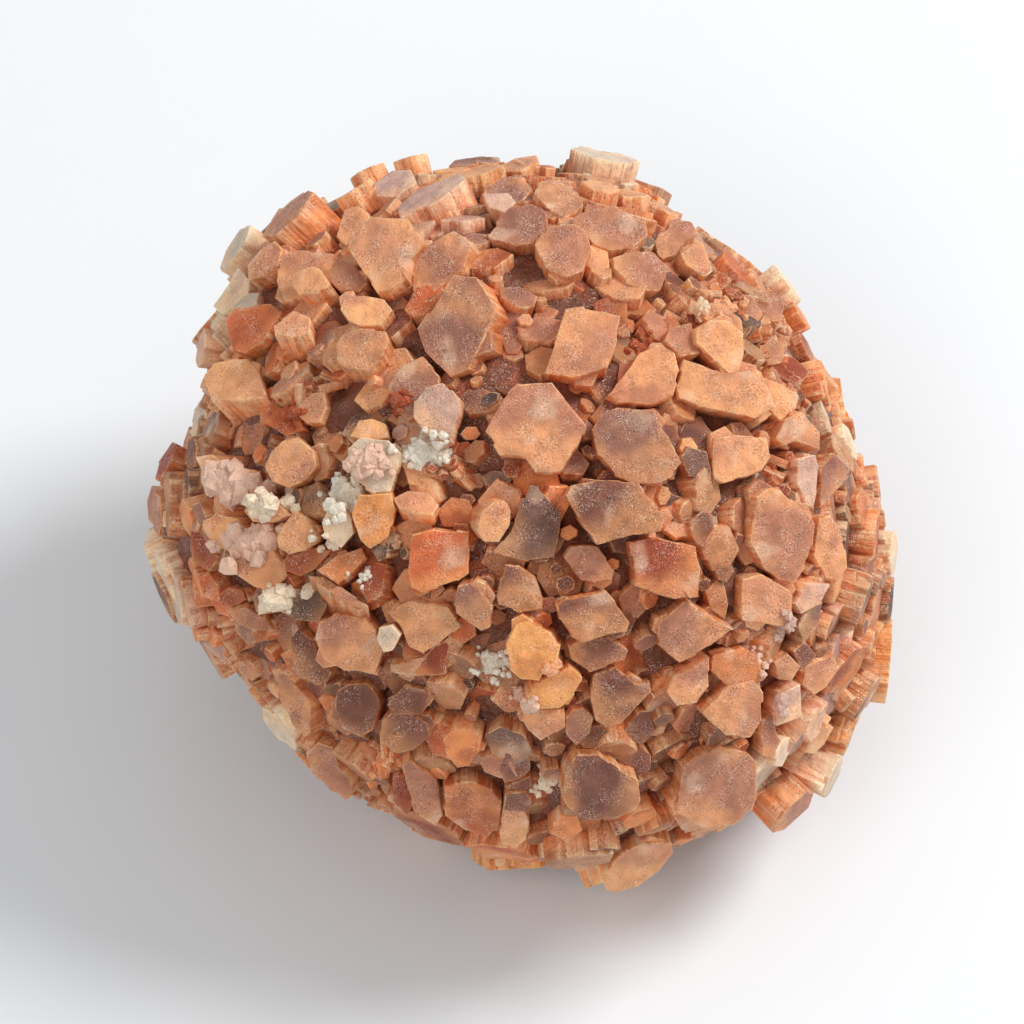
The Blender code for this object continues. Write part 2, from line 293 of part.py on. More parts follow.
    ("mauve", -0.4, (-0.4, 0.2), ((-28.1, 12.5), (-27.0, 12.8), (-24.6, 11.5), (-23.4, 9.7), (-25.8, 8.9),
                                  (-28.1, 10.4))),
    ("cream", 3.0, (-0.1, -0.1), ((-15.7, -13.3), (-15.4, -12.0), (-14.0, -11.7), (-13.1, -12.8),
                                  (-14.0, -14.5), (-14.9, -14.7))),
    ("rose", 1.4, (-0.42, -0.52), ((-24.1, -26.2), (-22.5, -24.9), (-20.8, -25.4), (-20.2, -27.5),
                                   (-18.8, -29.0), (-18.5, -30.8), (-19.5, -31.6), (-21.5, -30.5),
                                   (-23.4, -28.4))),
    ("brick", 0.2, (-0.15, -0.65), ((-14.2, -28.6), (-12.8, -28.4), (-11.5, -31.8), (-12.6, -33.5),
                                    (-14.4, -31.5))),
)  # fmt: skip

# The crystals round the rim, which are seen from the side: tone, the middle of the end (right, up, near),
# the direction that the crystal points in (right, up, near), and its width across and through.
RIM = (
    ("cream", (9.5, 40.9, 3), (0.2, 0.95, 0.22), 9.0, 7.0),
    ("peach", (1.5, 39.8, 2), (0.3, 0.93, 0.15), 4.6, 4.0),
    ("smoke", (-5.0, 40.2, 0), (-0.1, 0.95, 0.25), 7.0, 6.0),
    ("lilac", (-10.0, 35.9, 15), (-0.42, 0.80, 0.42), 10.0, 6.0),
    ("lilac", (-13.9, 37.5, 10), (-0.3, 0.75, 0.58), 5.6, 5.6),
    ("peach", (-12.3, 40.5, 1), (-0.25, 0.95, -0.1), 4.6, 5.0),
    ("peach", (-18.5, 36.9, 8), (-0.52, 0.85, 0.05), 5.6, 5.0),
    ("orange", (-17.2, 39.2, 1), (-0.4, 0.9, -0.1), 4.2, 4.0),
    ("rose", (-25.9, 34.2, 10), (-0.68, 0.62, 0.38), 8.2, 6.6),
    ("cream", (-32.0, 30.6, 3), (-0.8, 0.5, 0.3), 6.8, 6.0),
    ("lilac", (-35.8, 19.2, 6), (-0.96, 0.15, 0.24), 5.2, 5.0),
    ("cream", (-36.0, 11.0, 5), (-0.93, 0.2, 0.3), 5.6, 4.4),
    ("brick", (-39.9, 6.3, 4), (-0.85, 0.42, 0.3), 5.4, 5.0),
    ("rose", (-41.4, 1.4, 1), (-0.93, 0.03, 0.35), 4.4, 4.2),
    ("amber", (-39.7, -1.6, 2), (-0.95, 0.0, 0.2), 3.6, 4.0),
    ("cream", (-39.8, -7.6, 4), (-0.9, -0.38, 0.14), 9.0, 7.0),
    ("lilac", (-35.0, -13.3, 6), (-0.66, -0.52, 0.5), 7.6, 5.0),
    ("lilac", (-29.2, -16.9, 7), (-0.75, -0.45, 0.48), 4.8, 4.6),
    ("cream", (-26.9, -23.8, 8), (-0.65, -0.6, 0.45), 6.6, 5.0),
    ("amber", (-17.0, -30.8, 3), (-0.35, -0.85, 0.3), 4.0, 4.0),
    ("rose", (-13.2, -33.4, 2), (-0.3, -0.9, 0.2), 5.2, 4.4),
    ("orange", (-10.2, -35.8, -1), (-0.2, -0.95, 0.1), 4.4, 4.4),
    ("smoke", (-6.2, -36.8, 1), (-0.1, -0.96, 0.15), 4.8, 4.6),
    ("peach", (-2.0, -38.1, 3), (0.0, -0.96, 0.2), 4.8, 4.4),
    ("orange", (2.4, -37.5, 4), (0.05, -0.9, 0.3), 3.8, 3.8),
    ("peach", (20.4, -35.6, 1), (0.3, -0.9, 0.2), 7.4, 5.0),
    ("rose", (30.8, -33.0, 6), (0.68, -0.66, 0.34), 7.2, 6.6),
    ("cream", (35.3, -29.2, 3), (0.88, -0.42, 0.2), 5.8, 6.0),
    ("amber", (37.5, -24.2, 0), (0.93, -0.33, 0.1), 6.4, 6.0),
    ("amber", (41.8, -16.2, -3), (0.99, -0.08, 0.0), 10.2, 8.0),
    ("cream", (42.2, -4.2, 0), (0.97, -0.08, 0.22), 6.0, 5.2),
    ("orange", (39.5, -9.8, -3), (0.97, -0.15, -0.1), 4.4, 4.4),
    ("rose", (40.2, 0.5, 2), (0.9, -0.2, 0.25), 3.8, 3.6),
    ("orange", (37.9, 0.0, 6), (0.9, -0.1, 0.4), 5.8, 4.2),
    ("lilac", (37.5, -8.3, 9), (0.92, -0.2, 0.33), 8.6, 4.2),
    ("lilac", (36.7, -17.2, 10), (0.85, -0.36, 0.38), 9.2, 4.6),
    ("lilac", (33.0, -22.8, 14), (0.82, -0.32, 0.46), 5.2, 3.8),
    ("peach", (38.5, 5.2, 1), (0.85, 0.5, 0.1), 5.4, 4.6),
    ("cream", (35.6, 9.2, 5), (0.9, 0.35, 0.2), 4.0, 4.0),
    ("peach", (34.2, 13.8, 4), (0.9, 0.4, 0.2), 4.8, 4.4),
    ("brick", (32.3, 19.2, 4), (0.88, 0.4, 0.2), 4.4, 4.2),
    ("orange", (31.8, 22.8, 2), (0.85, 0.5, 0.15), 4.2, 4.2),
    ("cream", (30.4, 26.4, 0), (0.78, 0.6, 0.1), 6.0, 5.0),
    ("cream", (24.4, 28.0, 2), (0.6, 0.8, 0.1), 4.4, 4.4),
    ("peach", (22.4, 28.8, 6), (0.6, 0.75, 0.25), 5.0, 2.6),
    ("rose", (20.5, 30.8, 5), (0.55, 0.8, 0.2), 4.0, 4.0),
    ("peach", (16.4, 34.8, 4), (0.4, 0.88, 0.2), 4.8, 4.4),
)

# The far side, which the front view doesn't show: widths to fill with, widest first, and how often to try.
FAR_WIDTHS = (11.6, 10.0, 8.6, 7.4)
FAR_TRIES = 900
FAR_CROWDING = 0.86  # spacing of neighbours, as a share of their mean width
FAR_LIMIT = 0.3  # a direction counts as far side up to this share towards the viewer
FAR_TONES = ("rose", "mauve", "rose", "peach", "smoke", "orange", "amber", "mauve", "grey", "cream", "brick")
FLOOR_CLEARANCE = 1.2  # ends over the table stop this far above it

# The crystals that the cluster stands on: direction round the vertical in degrees, distance out, and width.
FEET = ((-90, 17.0, 8.4), (-22, 19.0, 9.0), (42, 18.0, 8.0), (110, 19.5, 8.8), (170, 18.5, 8.2), (228, 17.5, 7.6),
        (0, 4.0, 8.0))  # fmt: skip
FOOT_LEAN = 0.42  # how far out a foot leans for its distance from the middle
FOOT_SINK = 0.8  # how much of a foot's tip is worn off flat

RIGHT = Vector((1.0, 0.0, 0.0))
UP = Vector((0.0, math.sin(VIEW_ELEVATION), math.cos(VIEW_ELEVATION)))
NEAR = Vector((0.0, -math.cos(VIEW_ELEVATION), math.sin(VIEW_ELEVATION)))
FLOOR = -CORE_AT[2]  # the table's height, seen from the core


def placed(right, up, near):
    """A front-view position or direction, turned into the upright frame (still from the core's middle)."""
    return RIGHT * right + UP * up + NEAR * near


def outline_radius(angle):
    """The outline's radius at an angle, between the listed values."""
    step = 2 * math.pi / len(OUTLINE)
    place = (angle % (2 * math.pi)) / step
    low = int(place) % len(OUTLINE)
    share = place - int(place)
    return OUTLINE[low] * (1 - share) + OUTLINE[(low + 1) % len(OUTLINE)] * share


def reach(direction):
    """Distance from the core's middle to the cluster's outer surface in a direction of the upright frame."""
    right, up, near = direction.dot(RIGHT), direction.dot(UP), direction.dot(NEAR)
    across = outline_radius(math.atan2(up, right))
    deep = FRONT_DEPTH if near > 0 else BACK_DEPTH
    return 1 / math.sqrt((right * right + up * up) / across**2 + (near / deep) ** 2)


def splayed(right, up):
    """The direction (right, up) in which a crystal leans at a place of the front."""
    radius = math.hypot(right, up)
    out = min(1.0, radius / outline_radius(math.atan2(up, right)))
    lean = math.sin(SPLAY * math.asin(out))
    return (right / radius * lean, up / radius * lean)


class Crystal:
    """One prism: the corners of its end, from the core's middle, and the direction that it points in."""

    def __init__(self, tone, corners, axis):
        self.tone = tone
        self.axis = axis.normalized()
        self.end = sum(corners, Vector()) / len(corners)
        side = self.axis.orthogonal().normalized()
        other = self.axis.cross(side)
        self.corners = sorted(
            corners, key=lambda p: math.atan2((p - self.end).dot(other), (p - self.end).dot(side))
        )
        self.width = 2 * sum((p - self.end).length for p in corners) / len(corners)

    def length(self):
        """From the end down to a root that lies well inside the core."""
        out = self.end.length
        root = ROOT_SHARE * reach(self.end / out)
        across = (self.end - self.axis * self.end.dot(self.axis)).length
        return self.end.dot(self.axis) - math.sqrt(max(0.0, root * root - across * across))


def facing_crystal(tone, stands, lean, corners):
    """A crystal whose end is seen from the front. Its corners are put on the plane of the end."""
    right = sum(c[0] for c in corners) / len(corners)
    up = sum(c[1] for c in corners) / len(corners)
    out = min(1.0, math.hypot(right, up) / outline_radius(math.atan2(up, right)))
    near = FRONT_DEPTH * math.sqrt(1 - out * out) + stands
    lean = lean or splayed(right, up)
    towards = math.sqrt(1 - lean[0] ** 2 - lean[1] ** 2)
    points = []
    for x, y in corners:
        drop = ((x - right) * lean[0] + (y - up) * lean[1]) / towards
        points.append(placed(x, y, near - drop))
    return Crystal(tone, points, placed(lean[0], lean[1], towards))


def ring_crystal(tone, end, axis, across, through, chance):
    """A six-sided crystal with uneven corners; across runs over the front view, through runs into it."""
    axis = axis.normalized()
    side = axis.cross(NEAR)
    if side.length < 0.3:
        side = axis.cross(UP)
    side.normalize()
    other = axis.cross(side)
    turn = chance.uniform(0, math.pi / 3)
    points = []
    for i in range(6):
        angle = turn + i * math.pi / 3 + chance.uniform(-0.14, 0.14)
        size = chance.uniform(0.92, 1.08)
        points.append(
            end + side * (across / 2 * size * math.cos(angle)) + other * (through / 2 * size * math.sin(angle))
        )
    return Crystal(tone, points, axis)


def random_direction(chance):
    height = chance.uniform(-1, 1)
    angle = chance.uniform(0, 2 * math.pi)
    flat = math.sqrt(1 - height * height)
    return Vector((flat * math.cos(angle), flat * math.sin(angle), height))


def foot_crystals(chance):
    """Crystals that point down to the table, their worn tips cut off flat there later."""
    feet = []
    for turn, out, width in FEET:
        angle = math.radians(turn)
        end = Vector((out * math.cos(angle), out * math.sin(angle), FLOOR - FOOT_SINK))
        axis = Vector((FOOT_LEAN * end.x / -FLOOR, FOOT_LEAN * end.y / -FLOOR, -1.0))
        feet.append(ring_crystal("peach", end, axis, width, width * 0.9, chance))
    return feet


def room(crystal, others, crowding):
    """Whether a crystal's end stands clear enough of the others' ends."""
    return all(
        (crystal.end - o.end).length > crowding * (crystal.width + o.width) / 2 for o in others
    )


def far_crystals(taken, chance):
    """Fills the side that the front view doesn't show, widest crystals first."""
    found = []
    for width in FAR_WIDTHS:
        for _ in range(FAR_TRIES):
            direction = random_direction(chance)
            stands = chance.uniform(-2.6, 1.0)
            tone = chance.choice(FAR_TONES)
            stretch = chance.uniform(0.78, 1.15)
            wobble = Vector([chance.uniform(-0.16, 0.16) for _ in range(3)])
            if direction.dot(NEAR) > FAR_LIMIT:
                continue
            end = direction * (reach(direction) + stands)
            if end.z < FLOOR + FLOOR_CLEARANCE:
                end *= (FLOOR + FLOOR_CLEARANCE) / end.z
            crystal = ring_crystal(tone, end, direction + wobble, width, width * stretch, chance)
            if min(p.z for p in crystal.corners) < FLOOR + FLOOR_CLEARANCE / 2:
                continue
            if room(crystal, taken + found, FAR_CROWDING):
                found.append(crystal)
    return found


def all_crystals():
    chance = random.Random(SEED)
    crystals = [facing_crystal(*row) for row in FACING]
    for tone, end, axis, across, through in RIM:
        crystals.append(ring_crystal(tone, placed(*end), placed(*axis), across, through, chance))
    crystals += foot_crystals(chance)
    return crystals + far_crystals(crystals, chance)


def tone_material(name, colour):
    material = bpy.data.materials.new(name)
    material.use_nodes = True
    shader = material.node_tree.nodes["Principled BSDF"]
    shader.inputs["Base Color"].default_value = (*colour, 1.0)
    shader.inputs["Roughness"].default_value = 0.5
    shader.inputs["Metallic"].default_value = 0.0
    shader.inputs["Subsurface Weight"].default_value = 0.3
    return material


def core_mesh(core_at):
    """The lumpy ball that the crystals grow out of."""
    lumps = random.Random(SEED + 1)
    body = bmesh.new()
    bmesh.ops.create_icosphere(body, subdivisions=CORE_DETAIL, radius=1.0)
    for vertex in body.verts:
        direction = vertex.co.normalized()
        radius = CORE_SHARE * reach(direction) + lumps.uniform(-CORE_LUMPS, CORE_LUMPS)
        vertex.co = (core_at + direction * radius) * MM
    mesh = bpy.data.meshes.new("core")
    body.to_mesh(mesh)
    body.free()
    return mesh


def prism_mesh(crystal, core_at, slot):
    body = bmesh.new()
    foot = crystal.end - crystal.axis * crystal.length()
    top = [body.verts.new((core_at + p) * MM) for p in crystal.corners]
    root = [
        body.verts.new((core_at + foot + (p - crystal.end) * TAPER) * MM) for p in crystal.corners
    ]
    body.faces.new(top)
    body.faces.new(reversed(root))
    count = len(top)
    for i in range(count):
        j = (i + 1) % count
        body.faces.new((root[i], root[j], top[j], top[i]))
    bmesh.ops.recalc_face_normals(body, faces=body.faces)
    for face in body.faces:
        face.material_index = slot
    mesh = bpy.data.meshes.new("prism")
    body.to_mesh(mesh)
    body.free()
    return mesh


def helper(name, mesh, collection):
    obj = bpy.data.objects.new(name, mesh)
    obj.hide_render = True
    obj.display_type = "WIRE"
    collection.objects.link(obj)
    return obj


def table_cutter(collection):
    """A slab with its top at the table's height, which wears the feet flat."""
    body = bmesh.new()
    bmesh.ops.create_cube(body, size=1.0)
    for vertex in body.verts:
        vertex.co = Vector((vertex.co.x * 0.2, vertex.co.y * 0.2, (vertex.co.z - 0.5) * 0.02))
    mesh = bpy.data.meshes.new("table_cutter")
    body.to_mesh(mesh)
    body.free()
    return helper("table_cutter", mesh, collection)


def keep_outer_skin(mesh):
    """Removes sealed pockets between the crystals' roots: every shell but the largest."""
    body = bmesh.new()
    body.from_mesh(mesh)
    unseen = set(body.verts)
    shells = []
    while unseen:
        shell = set()
        edge_of_shell = [unseen.pop()]
        while edge_of_shell:
            vertex = edge_of_shell.pop()
            shell.add(vertex)
            for edge in vertex.link_edges:
                other = edge.other_vert(vertex)
                if other in unseen:
                    unseen.discard(other)
                    edge_of_shell.append(other)
        shells.append(shell)
    shells.sort(key=len)
    for shell in shells[:-1]:
        bmesh.ops.delete(body, geom=list(shell), context="VERTS")
    body.to_mesh(mesh)
    body.free()


def build():
    for obj in list(bpy.data.objects):
        bpy.data.objects.remove(obj)
    scene = bpy.context.scene.collection
    core_at = Vector(CORE_AT)
    growth = bpy.data.collections.new("growth")
    scene.children.link(growth)

    materials = [tone_material("core", CORE_COLOUR)]
    materials += [tone_material(name, colour) for name, colour in TONES.items()]
    slots = {name: i + 1 for i, name in enumerate(TONES)}

    cluster = bpy.data.objects.new("aragonite_cluster", core_mesh(core_at))
    scene.objects.link(cluster)
    for material in materials:
        cluster.data.materials.append(material)
    for number, crystal in enumerate(all_crystals()):
        mesh = prism_mesh(crystal, core_at, slots[crystal.tone])
        for material in materials:
            mesh.materials.append(material)
        helper(f"crystal_{number:03d}", mesh, growth)

    joined = cluster.modifiers.new("grown_together", "BOOLEAN")
    joined.operation = "UNION"
    joined.solver = "EXACT"
    joined.operand_type = "COLLECTION"
    joined.collection = growth
    worn = cluster.modifiers.new("worn_feet", "BOOLEAN")
    worn.operation = "DIFFERENCE"
    worn.solver = "EXACT"
    worn.object = table_cutter(scene)

    bpy.context.view_layer.update()
    graph = bpy.context.evaluated_depsgraph_get()
    solid = bpy.data.meshes.new_from_object(cluster.evaluated_get(graph))
    keep_outer_skin(solid)
    cluster.modifiers.clear()
    cluster.data = solid


build()
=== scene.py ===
"""Aragonite star cluster: the fine surface of the crystals, with a floor, soft light and a camera.

The crystals stand where the solid's stand. Each gets a ribbed outline, a softened rim, an uneven end and
parallel side growths, small crystals fill the gaps between them, and all are joined into one closed skin.
"""

import json
import math
import random

import bmesh
import bpy
import numpy as np
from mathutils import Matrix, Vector, noise
from mathutils.bvhtree import BVHTree

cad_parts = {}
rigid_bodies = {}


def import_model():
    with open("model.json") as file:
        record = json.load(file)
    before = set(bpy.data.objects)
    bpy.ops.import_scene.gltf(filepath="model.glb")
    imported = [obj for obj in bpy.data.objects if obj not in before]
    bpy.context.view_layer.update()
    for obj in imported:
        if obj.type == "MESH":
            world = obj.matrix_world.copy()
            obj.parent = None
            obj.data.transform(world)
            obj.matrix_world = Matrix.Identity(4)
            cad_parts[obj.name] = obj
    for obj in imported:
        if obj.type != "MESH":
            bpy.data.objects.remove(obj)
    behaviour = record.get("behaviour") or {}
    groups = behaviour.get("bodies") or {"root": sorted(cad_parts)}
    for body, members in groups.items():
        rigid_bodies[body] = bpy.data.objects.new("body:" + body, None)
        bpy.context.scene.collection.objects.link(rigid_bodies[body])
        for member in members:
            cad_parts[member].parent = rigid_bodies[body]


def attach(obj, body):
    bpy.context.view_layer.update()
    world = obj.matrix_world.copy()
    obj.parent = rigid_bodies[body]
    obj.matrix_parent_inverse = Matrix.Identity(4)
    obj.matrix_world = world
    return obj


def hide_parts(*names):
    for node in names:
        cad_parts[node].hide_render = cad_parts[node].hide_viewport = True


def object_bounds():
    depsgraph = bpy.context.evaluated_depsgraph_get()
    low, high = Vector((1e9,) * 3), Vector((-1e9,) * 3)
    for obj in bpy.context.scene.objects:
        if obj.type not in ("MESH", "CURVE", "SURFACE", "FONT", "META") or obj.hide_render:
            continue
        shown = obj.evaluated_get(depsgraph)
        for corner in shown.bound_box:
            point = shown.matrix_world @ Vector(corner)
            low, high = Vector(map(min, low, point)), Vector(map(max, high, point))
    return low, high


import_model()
SOLID_BOX = [list(corner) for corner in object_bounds()]

MM = 0.001

# Driving dimensions, in millimetres.
VIEW_ELEVATION = math.radians(58.0)  # the front direction points this far above the horizon
CORE_AT = (0.04, 0.42, 30.2)  # the middle of the core, from the point on the table under the cluster
FRONT_DEPTH = 33.0  # how far the crystals reach towards the front
BACK_DEPTH = 31.0  # and towards the back
SPLAY = 0.8  # a crystal leans outwards by this share of a true radial direction
ROOT_SHARE = 0.62  # the crystals' roots start this far out, inside the core
TAPER = 0.9  # width of a crystal's root, as a share of its end
SEED = 7

# The cluster's outline as seen from the front: its radius every 15 degrees, from the right side upwards.
OUTLINE = (
    41.5, 39.5, 38.0, 39.5, 38.5, 41.5, 40.5, 41.5, 41.5, 44.0, 41.0, 38.5,
    42.0, 41.5, 36.5, 37.0, 37.0, 37.5, 38.5, 42.5, 41.0, 44.5, 44.5, 44.0,
)  # fmt: skip

CORE_COLOUR = (0.16, 0.05, 0.025)

